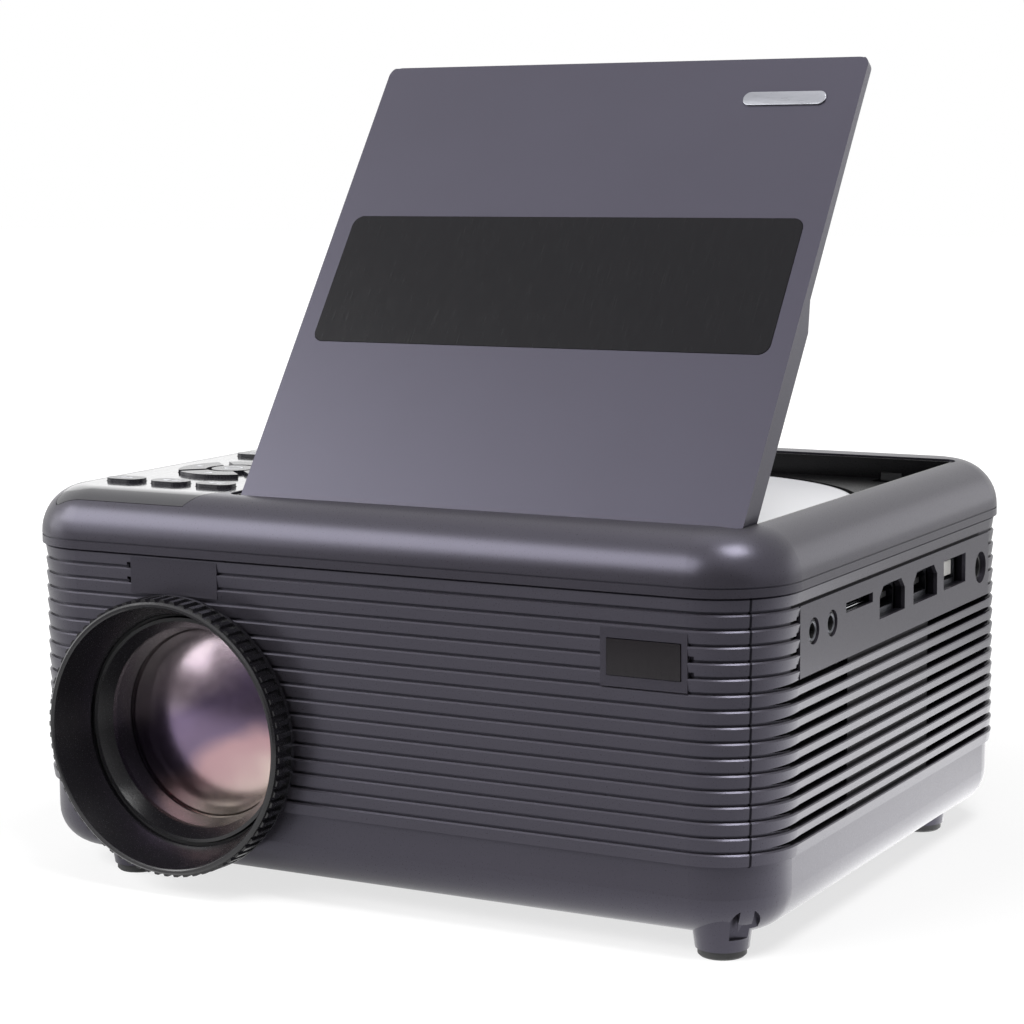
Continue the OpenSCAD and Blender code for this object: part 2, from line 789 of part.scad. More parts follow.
module lens_barrel() {
    color("#232327") placed() turned(lens_x, barrel_front_y, lens_z) {
        polygon([[barrel_r, 0], [barrel_r, barrel_l], [glass_r - 8, barrel_l],
            [glass_r - 8, barrel_l - 1.5], [glass_r - 6.6, barrel_l - 1.5],
            [glass_r - 6.6, barrel_l - 6], [glass_r - 8, barrel_l - 6], [glass_r - 8, glass_back + 9],
            [glass_r - 2, glass_back + 5.4], [glass_r - 2, glass_back + 3.4],
            [glass_r + 0.05, glass_back + 3.4], [glass_r + 0.05, glass_back - 1],
            [glass_r - 0.3, glass_back - 1.4], [glass_r + 1, glass_back - 5.6],
            [glass_r + 1, glass_back - 7], [barrel_r - 0.9, 0]]);
    }
}

// A lens with two bulging faces: rim radius r, rim thickness t
module lens_profile(r, t, front_bulge, back_bulge) {
    translate([0, 0]) square([r, t]);
    for (side = [0, 1]) {
        b = side == 0 ? front_bulge : back_bulge;
        sphere_r = (r * r + b * b) / (2 * b);
        translate([0, side == 0 ? 0 : t]) mirror([0, side == 0 ? 0 : 1])
            intersection() {
                translate([0, sphere_r - b]) circle(sphere_r, $fn = 200);
                translate([0, -b - 1]) square([r, b + 1 + eps]);
            }
    }
}

module front_lens() {
    color("#6f5f86", 0.6) placed() turned(lens_x, barrel_front_y + glass_back - 0.4, lens_z)
        lens_profile(glass_r, 3.6, 4.4, 1.2);
}

module rear_lens() {
    color("#8d8fb0", 0.6) placed() turned(lens_x, barrel_front_y + barrel_l - 5.8, lens_z)
        lens_profile(glass_r - 6.7, 4, 1.6, 1.2);
}

module lens_holder() {
    color("#2a2a2e") placed() difference() {
        union() {
            bar_y(lens_x, holder_y0, lens_z, barrel_r + 2, engine_y0 - holder_y0);
            translate([lens_x - engine_w / 2, engine_y0 - 2.2, lens_z - engine_h / 2])
                cube([engine_w, 2.2, engine_h]);
        }
        bar_y(lens_x, holder_y0 - 1, lens_z, barrel_r + run_gap, engine_y0 - holder_y0 + 2);
    }
}

// ---------------------------------------------------------------- light engine

module engine_plate(y, t) {
    gap = engine_wall + 0.15;
    translate([lens_x - engine_w / 2 + gap, y, lens_z - engine_h / 2 + gap])
        cube([engine_w - 2 * gap, t, engine_h - 2 * gap]);
}

module light_housing() {
    color("#222226") placed() difference() {
        translate([lens_x - engine_w / 2, engine_y0, lens_z - engine_h / 2])
            cube([engine_w, engine_y1 - engine_y0, engine_h]);
        translate([lens_x - engine_w / 2 + engine_wall, engine_y0 - 1, lens_z - engine_h / 2 + engine_wall])
            cube([engine_w - 2 * engine_wall, engine_y1 - engine_y0 - 1.4, engine_h - 2 * engine_wall]);
        bar_y(lens_x, engine_y1 - 5, lens_z, 20.1, 8);
    }
}

module field_lens() {
    color("#cfd4dc", 0.5) placed() engine_plate(engine_y0 + 4, 2);
}

module lcd_panel() {
    color("#5b6572") placed() {
        difference() {
            engine_plate(engine_y0 + 28, 3.2);
            translate([lens_x - 38, engine_y0 + 27, lens_z - 21.5]) cube([76, 1.8, 43]);
            translate([lens_x - 38, engine_y0 + 30.4, lens_z - 21.5]) cube([76, 1.8, 43]);
        }
    }
}

module fresnel_lens() {
    color("#cfd4dc", 0.5) placed() engine_plate(engine_y0 + 50, 2);
}

module condenser_lens() {
    color("#c9d0da", 0.5) placed() turned(lens_x, engine_y1 - 2.4, lens_z) {
        square([20, 2.4]);
        intersection() {
            translate([0, 9]) circle(21);
            translate([0, -14]) square([20, 14 + eps]);
        }
    }
}

module led_module() {
    color("#e6d9a0") placed() {
        translate([lens_x - 18, engine_y1 + 0.2, lens_z - 18]) cube([36, 1.6, 36]);
        translate([lens_x - 8, engine_y1 + 0.05, lens_z - 8]) cube([16, 0.4, 16]);
    }
}

module heat_sink() {
    y0 = engine_y1 + 1.8;
    color("#a9abb0") placed() {
        translate([lens_x - 33, y0, lens_z - 27]) cube([66, sink_base, 54]);
        for (i = [0:12])
            translate([lens_x - 33 + i * 5.4, y0 + sink_base - eps, lens_z - 27])
                cube([1.2, sink_l - sink_base, 54]);
    }
}

module fan_frame() {
    y0 = fan_y;
    color("#1d1d20") placed() difference() {
        translate([lens_x - fan_size / 2, y0, lens_z - fan_size / 2]) cube([fan_size, fan_t, fan_size]);
        difference() {
            bar_y(lens_x, y0 - 1, lens_z, fan_r, fan_t + 2);
            bar_y(lens_x, y0 - 2, lens_z, 10, 4.2);
            for (a = [45:90:315]) translate([lens_x, y0, lens_z]) rotate([0, a, 0])
                translate([0, 0, -1.2]) cube([fan_r + 1, 2.2, 2.4]);
        }
        for (sx = [-1, 1], sz = [-1, 1])
            bar_y(lens_x + sx * 26, y0 - 1, lens_z + sz * 26, 1.8, fan_t + 2);
        bar_y(lens_x, y0 - 1, lens_z, 1.5 + run_gap, 5);
    }
}

module fan_rotor() {
    y0 = fan_y;
    color("#2b2b2f") placed() {
        bar_y(lens_x, y0 + 0.4, lens_z, 1.5, 3);
        bar_y(lens_x, y0 + 2.8, lens_z, 11, 6.2);
        for (i = [0:6]) translate([lens_x, y0 + 5.9, lens_z]) rotate([0, i * 360 / 7, 0])
            translate([10.4, 0, 0]) rotate([36, 0, 0]) translate([0, -0.6, -3.9]) cube([16.4, 1.2, 7.8]);
    }
}

// ---------------------------------------------------------------- electronics

module main_board() {
    top = board_z + board_t;
    color("#1f4a33") placed() {
        translate([board_x0, front_y + 20, board_z])
            cube([board_x1 - board_x0, body_d - 32, board_t]);
        // processor with its cooler, memory, capacitors and drive connector
        translate([board_x0 + 30, front_y + 40, top - eps]) cube([18, 18, 2]);
        translate([board_x0 + 56, front_y + 44, top - eps]) cube([10, 14, 1.2]);
        for (i = [0:3]) translate([board_x0 + 14 + i * 9, back_y - 24, top - eps]) cylinder(r = 3, h = 5);
        translate([board_x0 + 6, front_y + 40, top - eps]) cube([5, 26, 3]);
    }
}

module key_board() {
    color("#1f4a33") placed() {
        translate([plate_x - 22, front_y + 17, keyboard_z]) cube([44, plate_y1 - front_y - 21, board_t]);
        for (k = concat(row_keys, menu_keys)) key_switch(k[0], k[1]);
        key_switch(plate_x, nav_y);
        for (a = [0:90:270]) key_switch(plate_x + 10.8 * cos(a), nav_y + 10.8 * sin(a));
    }
}

module key_switch(x, y) {
    translate([x - 2, y - 2, keyboard_z + board_t - eps]) cube([4, 4, switch_h]);
}

// A 3.5 mm jack on the main board
module plug_jack(y) {
    x1 = inner_x + 1.2;
    color("#17171a") placed() difference() {
        union() {
            translate([x1 - 13.4, y - 3.4, board_z + board_t]) cube([11.6, 6.8, port_mid_z - board_z - board_t + 3.2]);
            bar_x(x1 - 2, y, port_mid_z, 2.9, 2.8);
        }
        bar_x(x1 - 12, y, port_mid_z, plug_r, 20);
    }
}

module headphone_jack() {
    plug_jack(phones_y);
}

module av_jack() {
    plug_jack(av_y);
}

module card_slot() {
    x1 = inner_x - 0.1;
    color("#b9bcc2") placed() difference() {
        translate([x1 - 15, card_y - 7.4, card_z - 1.2]) cube([15, 14.8, 2.4]);
        translate([x1 - 13, card_y - 6, card_z - 0.6]) cube([15, 12, 1.2]);
    }
    color("#1f4a33") placed()
        translate([x1 - 15, card_y - 7.4, board_z + board_t]) cube([15, 14.8, card_z - 1.2 - board_z - board_t]);
}

module video_socket(y) {
    x1 = inner_x - 0.1;
    base = board_z + board_t;
    color("#b9bcc2") placed() {
        difference() {
            translate([x1 - 11, y - 7.6, base]) cube([11, 15.2, port_mid_z + 3.2 - base]);
            translate([x1 - 9.5, y, port_mid_z]) rotate([90, 0, 90])
                linear_extrude(12) video_outline(14, 5);
        }
        translate([x1 - 10, y - 5.4, port_mid_z - 0.6]) cube([8.6, 10.8, 1.2]);
    }
}

module video_socket_1() {
    video_socket(video_y[0]);
}

module video_socket_2() {
    video_socket(video_y[1]);
}

module usb_socket() {
    x1 = inner_x - 0.1;
    base = board_z + board_t;
    color("#c4c7cc") placed() {
        difference() {
            translate([x1 - 14, usb_y - 7.2, base]) cube([14, 14.4, port_mid_z + 3.3 - base]);
            translate([x1 - 12, usb_y - 6.3, port_mid_z - 2.55]) cube([14, 12.6, 5.1]);
        }
        translate([x1 - 12.5, usb_y - 5.6, port_mid_z + 0.2]) cube([10.5, 11.2, 1.9]);
    }
}

module power_jack() {
    x1 = inner_x + 1.2;
    base = board_z + board_t;
    color("#141416") placed() {
        difference() {
            union() {
                translate([x1 - 13, power_y - 4.5, base]) cube([11.6, 9, power_z - base + 4.6]);
                bar_x(x1 - 2, power_y, power_z, 4.05, 2);
            }
            bar_x(x1 - 10.5, power_y, power_z, power_plug_r, 20);
        }
        bar_x(x1 - 11, power_y, power_z, 1.05, 9.4);
    }
}

module speaker() {
    y = speaker_y;
    z = speaker_z;
    x1 = inner_x - 0.3;
    color("#2c2c30") placed() difference() {
        union() {
            translate([x1 - 1.6, y - speaker_size / 2, z - speaker_size / 2])
                cube([1.6, speaker_size, speaker_size]);
            translate([x1 - 1.6, y, z]) rotate([0, -90, 0]) cylinder(r1 = 17, r2 = 11, h = 8);
            translate([x1 - 9.5, y, z]) rotate([0, -90, 0]) cylinder(r = 10, h = 5);
        }
        translate([x1 + 0.1, y, z]) rotate([0, -90, 0]) cylinder(r1 = 16, r2 = 7, h = 5);
    }
}

// ---------------------------------------------------------------- disc player

module disc_deck() {
    low = well_z - deck_t;
    color("#121215") placed() difference() {
        union() {
            difference() {
                translate([0, 0, deck_z - deck_t]) linear_extrude(bay_rim_z - deck_z + deck_t)
                    rounded_rect(bay_x0 - bay_wall, bay_y0 - bay_wall, bay_x1 + bay_wall, bay_y1 + bay_wall, 3.8);
                translate([0, 0, deck_z]) linear_extrude(10)
                    rounded_rect(bay_x0, bay_y0, bay_x1, bay_y1, 2.4 * lid_gap);
            }
            // well of the disc
            translate([disc_x, disc_y, low]) cylinder(r = well_r + deck_t, h = deck_z - low - eps, $fn = 120);
            // trough under the lid's rolled edge and channels under its skirts
            translate([bay_x0 - bay_wall, bay_y0 - bay_wall, low])
                cube([lid_w + 2 * lid_gap + 2 * bay_wall, 2 * hinge_r + 2.4 + bay_wall, deck_z - low - eps]);
            for (x = [bay_x0 - bay_wall, bay_x1 + bay_wall - 5.4])
                translate([x, bay_y0, low]) cube([5.4, skirt_bend + 8, deck_z - low - eps]);
            // lugs under the roof
            for (x = [lid_x0 + 12, lid_x1 - 46])
                translate([x, bay_y1 + bay_wall - 0.2, roof_z - 2.2]) cube([12, 5, 2]);
            translate([bay_x0 - bay_wall - 5, menu_row_y + 20, roof_z - 2.2]) cube([5.2, 12, 2]);
            // posts of the traverse
            for (x = [disc_x - 28, disc_x + 35]) {
                translate([x, disc_y - 17, traverse_z + traverse_t]) cylinder(r = 3, h = low - traverse_z - 1);
                translate([x, disc_y + 60, traverse_z + traverse_t])
                    cylinder(r = 3, h = deck_z - deck_t - traverse_z - 1);
            }
            // box of the catch, open above
            translate([hook_x - catch_w / 2 - 1.6, bay_y1 + bay_wall - 0.2, catch_z - 1.5])
                cube([catch_w + 3.2, catch_box_l + 1.6, catch_h + 1.8]);
        }
        translate([hook_x - catch_w / 2 - 0.2, bay_y1 + bay_wall + 0.1, catch_z - 0.1])
            cube([catch_w + 0.4, catch_box_l - 0.3, catch_h + 3]);
        translate([disc_x, disc_y, well_z]) cylinder(r = well_r, h = 10, $fn = 120);
        translate([bay_x0, bay_y0, well_z])
            cube([lid_w + 2 * lid_gap, 2 * hinge_r + 2, deck_z - well_z + 2 * eps]);
        for (x = [bay_x0, bay_x1 - 3.4])
            translate([x, bay_y0, well_z]) cube([3.4, skirt_bend + 6, deck_z - well_z + 0.02]);
        // spindle and pickup openings
        translate([disc_x, disc_y, low - 1]) cylinder(r = 15, h = 10);
        translate([disc_x - 10, disc_y, low - 1])
            cube([20, sled_y - disc_y + sled_travel + lens_head_r + 0.7, deck_z - deck_t - low + 1 - eps]);
        // hinge pin bores
        bar_x(bay_x0 - 3, hinge_y, hinge_z, pin_r + run_gap, notch_w + 6);
        bar_x(bay_x1 - notch_w - 3, hinge_y, hinge_z, pin_r + run_gap, notch_w + 6);
        // slots of the hook and the catch
        translate([hook_x - 3.4, hook_y - 3.6, low - 2]) cube([6.8, bay_y1 - hook_y + 3.6 + eps, 12]);
        translate([hook_x - catch_nose_w / 2 - 0.2, bay_y1 - 1, catch_z - 0.1])
            cube([catch_nose_w + 0.4, 4, catch_h + 0.2]);
    }
    color("#121215") placed() for (x = [bay_x0 - eps, bay_x1 - notch_w + eps]) hinge_bearing(x);
}

// A round bearing of a hinge pin on a stem that stands in the trough, behind the lid's rolled edge
module hinge_bearing(x) {
    difference() {
        union() {
            bar_x(x, hinge_y, hinge_z, bearing_r, notch_w);
            translate([x, hinge_y - 0.3, well_z - eps]) cube([notch_w, bearing_r + 0.3, hinge_z - well_z]);
        }
        bar_x(x - 1, hinge_y, hinge_z, pin_r + run_gap, notch_w + 2);
    }
}

// The catch at rest is drawn back; it slides forward over the hook of the closed lid
module lid_catch() {
    y0 = bay_y1 + bay_wall + catch_travel + 0.2;
    color("#2a2a2e") placed() {
        translate([hook_x - catch_w / 2, y0, catch_z]) cube([catch_w, catch_l, catch_h]);
        translate([hook_x - catch_nose_w / 2, bay_y1 + 0.1, catch_z])
            cube([catch_nose_w, y0 - bay_y1, catch_h]);
    }
}

module catch_spring() {
    y0 = bay_y1 + bay_wall + catch_travel + 0.2 + catch_l;
    l = bay_y1 + bay_wall + catch_box_l - 0.3 - y0;
    color("#9a9ca0") placed()
        translate([hook_x, y0 + 0.25, catch_z + catch_h / 2]) rotate([-90, 0, 0]) coil(0.85, 0.2, 3, l - 0.5);
}

module traverse_frame() {
    x0 = disc_x - 32;
    y0 = disc_y - 22;
    color("#3a3a40") placed() difference() {
        union() {
            translate([x0, y0, traverse_z]) cube([72, rod_y1 + 3 - y0, traverse_t]);
            // holders of the guide rods and the screw
            for (x = [disc_x - rod_dx, disc_x + rod_dx], y = [rod_y0, rod_y1 - 3])
                translate([x - 2.6, y, traverse_z + traverse_t - eps])
                    cube([5.2, 3, rod_z + 1 - traverse_z - traverse_t]);
            for (y = [rod_y0, rod_y1 - 3])
                translate([disc_x + screw_dx - 2.4, y, traverse_z + traverse_t - eps])
                    cube([4.8, 3, rod_z + 2.4 - traverse_z - traverse_t]);
        }
        translate([disc_x - 15, rod_y0 + 5, traverse_z - 1]) cube([30, sled_travel + 24, 4]);
        for (x = [disc_x - rod_dx, disc_x + rod_dx]) bar_y(x, rod_y0 - 1, rod_z, rod_r, rod_y1);
        bar_y(disc_x + screw_dx, rod_y0 - 2, rod_z, 1 + run_gap, rod_y1);
    }
}

module guide_rods() {
    color("#c8cace") placed()
        for (x = [disc_x - rod_dx, disc_x + rod_dx]) bar_y(x, rod_y0, rod_z, rod_r, rod_y1 - rod_y0);
}

module spindle_motor() {
    z0 = traverse_z + traverse_t;
    color("#aeb0b5") placed() translate([disc_x, disc_y, z0]) difference() {
        union() {
            translate([-13, -13, 0]) cube([26, 18, 1]);
            cylinder(r = 11, h = seat_z - z0 - 4.2);
        }
        translate([0, 0, 1.5]) cylinder(r = 1 + run_gap, h = 20);
    }
}

module turntable() {
    z0 = traverse_z + traverse_t + 2;
    color("#1e1e21") placed() translate([disc_x, disc_y, 0]) {
        translate([0, 0, z0]) cylinder(r = 1, h = seat_z - z0);
        translate([0, 0, seat_z - 3.9]) cylinder(r = 6, h = 3.9);
        translate([0, 0, seat_z - 2]) cylinder(r = 13.4, h = 2);
        translate([0, 0, seat_z - eps]) cylinder(r = disc_hole_r - 0.12, h = 1.4);
        translate([0, 0, seat_z + 1.38]) cylinder(r1 = disc_hole_r - 0.12, r2 = 4.6, h = 1.8);
    }
}

module disc() {
    color("#dfe1e6") placed() translate([disc_x, disc_y, seat_z]) difference() {
        cylinder(r = disc_d / 2, h = disc_t, $fn = 120);
        translate([0, 0, -1]) cylinder(r = disc_hole_r, h = disc_t + 2);
    }
}

module pickup_sled() {
    color("#4a4b50") placed() difference() {
        union() {
            translate([disc_x - sled_w / 2, sled_y - sled_l / 2, sled_z]) cube([sled_w, sled_l, sled_h]);
            for (x = [disc_x - rod_dx, disc_x + rod_dx])
                translate([x - 3.4, sled_y - 7, rod_z - 2.6]) cube([6.8, 14, 5.4]);
            // arm with the screw follower
            translate([disc_x + rod_dx + 2, sled_y - 3, rod_z - 2.6]) cube([8.6, 6, 5.4]);
        }
        for (x = [disc_x - rod_dx, disc_x + rod_dx]) bar_y(x, sled_y - 20, rod_z, rod_r + run_gap, 40);
        bar_y(disc_x + screw_dx, sled_y - 20, rod_z, 1.6 + run_gap, 40);
        translate([disc_x, sled_y, sled_z + 2]) cylinder(r = 6, h = 10);
    }
}

module objective_lens() {
    z0 = sled_z + 2;
    color("#8fb5c9") placed() translate([disc_x, sled_y, z0]) {
        cylinder(r = 5.6, h = 3.6);
        translate([0, 0, 3.5]) cylinder(r = lens_head_r, h = seat_z - 1.5 - z0 - 3.5);
    }
}

module sled_screw() {
    color("#c9b787") placed() {
        bar_y(disc_x + screw_dx, rod_y0 - 1, rod_z, 1, rod_y1 - rod_y0 + 1);
        bar_y(disc_x + screw_dx, rod_y0 + 3.3, rod_z, 1.6, rod_y1 - rod_y0 - 6.6);
    }
}

module sled_motor() {
    color("#aeb0b5") placed() difference() {
        bar_y(disc_x + screw_dx, rod_y0 - 12.4, rod_z, motor_r, 12.2);
        bar_y(disc_x + screw_dx, rod_y0 - 1.6, rod_z, 1 + run_gap, 4);
    }
}

// ---------------------------------------------------------------- lid

// Opens what is drawn closed
module opened() {
    translate([0, hinge_y, hinge_z]) rotate([lid_angle, 0, 0])
        translate([0, -hinge_y, -hinge_z]) children();
}

// Section of the lid's plate with its rolled front edge (x back from the hinge, y up)
module lid_section() {
    translate([0, hinge_r - lid_t]) square([lid_l - hinge_r - 0.6, lid_t]);
    translate([0, hinge_r - lid_t]) square([lid_l - hinge_r, lid_t - 0.6]);
    intersection() {
        difference() {
            circle(hinge_r);
            circle(hinge_r - roll_t);
        }
        polygon([[0.3, 0], [0.3, 6], [-6, 6], [-6, -2.4]]);
    }
}

module skirt_section() {
    polygon([[-1.2, hinge_r - lid_t + eps], [-1.2, hinge_r - 5.4], [0.8, hinge_r - skirt_h],
        [skirt_bend - hinge_r - 4, hinge_r - skirt_h], [skirt_bend - hinge_r + 3, hinge_r - skirt_end_h - 0.6],
        [lid_l - hinge_r - 2, hinge_r - skirt_end_h], [lid_l - hinge_r - 2, hinge_r - lid_t + eps]]);
}

module lid_part(x, w) {
    translate([x, hinge_y, hinge_z]) rotate([90, 0, 90]) linear_extrude(w) children();
}

window_x0 = lid_x0 + 5;
window_x1 = lid_x1 - 5.4;
window_y0 = hinge_y + 46.5;
window_y1 = hinge_y + 84.3;

module lid() {
    color("#35343b") placed() opened() {
        difference() {
            union() {
                intersection() {
                    lid_part(lid_x0, lid_w) lid_section();
                    linear_extrude(body_h + 1)
                        rounded_rect(lid_x0, lid_y0 - 6, lid_x1, lid_y1, 3);
                }
                for (x = [lid_x0 + 0.4, lid_x1 - skirt_t - 0.4]) lid_part(x, skirt_t) skirt_section();
                // knuckles
                for (x = [lid_x0 + notch_w + 0.3, lid_x1 - notch_w - 0.3 - 5])
                    bar_x(x, hinge_y, hinge_z, hinge_r - 0.5, 5);
                // hook
                translate([hook_x - hook_w / 2, hook_y - 2.4, toe_z]) cube([hook_w, 2.2, body_h - lid_t - toe_z + 0.5]);
                translate([hook_x - hook_w / 2, hook_y - 0.4, toe_z]) cube([hook_w, 1.8, toe_h]);
            }
            // hollows that clear the hinge bearings, under the lid's skin
            for (x = [lid_x0 - 1, lid_x1 - notch_w - 0.3]) {
                bar_x(x, hinge_y, hinge_z, bearing_r + 0.3, notch_w + 1.3);
                translate([x, hinge_y - 1.3, hinge_z - 8])
                    cube([notch_w + 1.3, bearing_r + 1.9, 8.05 + hinge_r - lid_t]);
            }
            for (x = [lid_x0 + notch_w, lid_x1 - notch_w - 8])
                bar_x(x, hinge_y, hinge_z, pin_r, 8);
            // hollow of the roll between the knuckles
            bar_x(lid_x0 + notch_w + 5.3, hinge_y, hinge_z, hinge_r - roll_t, lid_w - 2 * notch_w - 10.6);
            // seat of the window
            translate([0, 0, body_h - 0.9]) linear_extrude(3)
                rounded_rect(window_x0 - 0.1, window_y0 - 0.1, window_x1 + 0.1, window_y1 + 0.1, 3);
        }
    }
}

module lid_window() {
    color("#0e0e12") placed() opened()
        translate([0, 0, body_h - 0.9]) linear_extrude(1)
        rounded_rect(window_x0, window_y0, window_x1, window_y1, 3);
}

module hinge_pins() {
    l = notch_w + 1.2 + lid_gap + 5;
    color("#c8cace") placed() {
        bar_x(bay_x0 - 1.2, hinge_y, hinge_z, pin_r, l + spring_l + 1);
        bar_x(bay_x1 + 1.2 - l, hinge_y, hinge_z, pin_r, l);
    }
}

// A torsion spring round the left pin, inside the lid's rolled edge, one leg on the deck
module lid_spring() {
    x0 = lid_x0 + notch_w + 0.3 + 5.5;
    color("#9a9ca0") placed() translate([x0 + spring_wire, hinge_y, hinge_z])
        rotate([0, 90, 0]) rotate(90)
        coil(pin_r + 0.25 + spring_wire, spring_wire, 4, spring_l - 2 * spring_wire,
            hinge_z - well_z - spring_wire - 0.1);
}

// ---------------------------------------------------------------- keys

module key_body(flange) {
    translate([0, 0, key_flange_z - key_flange_t])
        linear_extrude(key_top_z - key_flange_z + key_flange_t) children(0);
    translate([0, 0, key_flange_z - key_flange_t]) linear_extrude(key_flange_t) children(1);
    translate([flange[0], flange[1], key_base_z])
        cylinder(r = 1.6, h = key_flange_z - key_flange_t - key_base_z + eps);
}

module row_key_at(place) {
    color("#2c2c33") placed() translate([place[0], place[1], 0]) key_body([0, 0]) {
        pill(row_key[0], row_key[1]);
        square([row_key[0] + 1.2, row_key[1] + 1.2], center = true);
    }
}

module nav_key_at(turn) {
    color("#2c2c33") placed() translate([plate_x, nav_y, 0])
        key_body([10.8 * cos(turn + 45), 10.8 * sin(turn + 45)]) {
            nav_outline(turn);
            nav_outline(turn, 0.6);
        }
}

module power_key() {
    row_key_at(menu_keys[0]);
}

module source_key() {
    row_key_at(menu_keys[1]);
}

module menu_key() {
    row_key_at(menu_keys[2]);
}

module previous_key() {
    row_key_at(row_keys[0]);
}

module play_key() {
    row_key_at(row_keys[1]);
}

module next_key() {
    row_key_at(row_keys[2]);
}

module right_key() {
    nav_key_at(-45);
}

module up_key() {
    nav_key_at(45);
}

module left_key() {
    nav_key_at(135);
}

module down_key() {
    nav_key_at(225);
}

module ok_key() {
    color("#2c2c33") placed() translate([plate_x, nav_y, 0]) key_body([0, 0]) {
        circle(ok_r);
        circle(ok_r + 0.5);
    }
}

bottom_cover();
ribbed_frame();
top_cover();
control_panel();
remote_window();
disc_deck();
main_board();
key_board();
headphone_jack();
av_jack();
card_slot();
video_socket_1();
video_socket_2();
usb_socket();
power_jack();
light_housing();
led_module();
heat_sink();
condenser_lens();
fresnel_lens();
lcd_panel();
field_lens();
lens_holder();
focus_ring();
lens_barrel();
front_lens();
rear_lens();
fan_frame();
fan_rotor();
speaker();
traverse_frame();
spindle_motor();
turntable();
disc();
guide_rods();
pickup_sled();
objective_lens();
sled_screw();
sled_motor();
lid();
lid_window();
hinge_pins();
lid_spring();
lid_catch();
catch_spring();
power_key();
source_key();
menu_key();
up_key();
down_key();
left_key();
right_key();
ok_key();
previous_key();
play_key();
next_key();
rubber_feet();
tripod_insert();
case_screws();
remote_receiver();
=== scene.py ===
# %% [markdown]
# # A small projector with a disc player under its lid
# This lesson dresses a finished construction model. The shapes that move and carry each other come from the frame.
# Here they get their materials, a few fine pieces that are too small for the construction, a camera and a studio.

# %% Load the frame
import json
import math

import bmesh
import bpy
from mathutils import Matrix, Vector


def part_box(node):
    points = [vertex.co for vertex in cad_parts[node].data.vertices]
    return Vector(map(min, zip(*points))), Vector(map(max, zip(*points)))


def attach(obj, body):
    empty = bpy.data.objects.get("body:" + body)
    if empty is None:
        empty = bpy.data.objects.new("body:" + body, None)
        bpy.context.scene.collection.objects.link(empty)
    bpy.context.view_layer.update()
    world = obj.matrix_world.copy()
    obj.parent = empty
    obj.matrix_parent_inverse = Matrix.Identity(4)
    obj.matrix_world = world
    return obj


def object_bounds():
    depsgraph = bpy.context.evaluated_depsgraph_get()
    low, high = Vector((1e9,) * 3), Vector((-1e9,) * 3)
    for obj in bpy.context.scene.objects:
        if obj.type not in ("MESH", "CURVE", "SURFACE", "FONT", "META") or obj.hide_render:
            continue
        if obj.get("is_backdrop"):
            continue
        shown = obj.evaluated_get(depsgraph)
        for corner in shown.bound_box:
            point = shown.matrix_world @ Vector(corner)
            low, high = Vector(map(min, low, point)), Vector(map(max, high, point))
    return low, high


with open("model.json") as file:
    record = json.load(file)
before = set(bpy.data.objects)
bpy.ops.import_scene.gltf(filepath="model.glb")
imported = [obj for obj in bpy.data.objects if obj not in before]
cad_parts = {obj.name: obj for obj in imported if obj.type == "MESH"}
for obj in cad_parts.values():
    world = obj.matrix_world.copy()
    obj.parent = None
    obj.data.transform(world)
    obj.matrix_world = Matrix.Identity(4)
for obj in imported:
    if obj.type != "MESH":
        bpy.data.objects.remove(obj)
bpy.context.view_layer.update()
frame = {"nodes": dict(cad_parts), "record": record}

MM = 0.001

# %% [markdown]
# ## Camera
# The picture to match was taken from the front right, a little above the object, with a long lens, because its
# upright edges hardly lean. The place and turn below come from fitting the body's straight edges to that picture.

# %% Camera
CAMERA_PLACE = (0.3384, -0.6157, 0.1859)
CAMERA_TURN = (82.098, 0.612, 28.944)
LENS_MM, SENSOR_MM = 94.87, 36.0

camera_data = bpy.data.cameras.new("camera")
camera_data.lens = LENS_MM
camera_data.sensor_fit = "HORIZONTAL"
camera_data.sensor_width = SENSOR_MM
camera = bpy.data.objects.new("camera", camera_data)
camera.location = CAMERA_PLACE
camera.rotation_euler = [math.radians(a) for a in CAMERA_TURN]
bpy.context.scene.collection.objects.link(camera)
bpy.context.scene.camera = camera
bpy.context.scene.view_settings.view_transform = "Standard"
print("camera", round(camera.location.length, 3), "m from the origin")

# %% [markdown]
# ## Helpers for materials
# A finish is a small tree of nodes. One function turns a screen colour, as a painter would pick it, into the linear
# values that Blender mixes in. One function adds a node, sets it and links it. That is all a finish needs.

# %% Helpers for materials
def linear(hex_colour):
    """An sRGB colour such as "3a3842" as linear red, green and blue, with alpha at 1."""
    parts = [int(hex_colour[i:i + 2], 16) / 255 for i in (0, 2, 4)]
    return tuple(p / 12.92 if p <= 0.04045 else ((p + 0.055) / 1.055) ** 2.4 for p in parts) + (1.0,)


def add(tree, kind, settings=None, links=None):
    """Adds a node. settings are its own properties or the values of its sockets, links the sockets that feed it."""
    node = tree.nodes.new("ShaderNode" + kind)
    for key, value in (settings or {}).items():
        if isinstance(key, str) and hasattr(node, key):
            setattr(node, key, value)
        else:
            node.inputs[key].default_value = value
    for key, socket in (links or {}).items():
        tree.links.new(socket, node.inputs[key])
    return node


def new_finish(name, colour, **shader_values):
    """A material with its shader, and the tree to add patterns to."""
    material = bpy.data.materials.new(name)
    material.use_nodes = True
    tree = material.node_tree
    tree.nodes.clear()
    values = {"Base Color": linear(colour)}
    values.update({key.replace("_", " "): value for key, value in shader_values.items()})
    shader = add(tree, "BsdfPrincipled", values)
    add(tree, "OutputMaterial", {}, {"Surface": shader.outputs["BSDF"]})
    return material, tree, shader


def per_mm(size):
    """The texture scale at which a pattern's features are this many millimetres across."""
    return 1 / (size * MM)


print("charcoal in linear values", [round(v, 4) for v in linear("2c2a2f")])

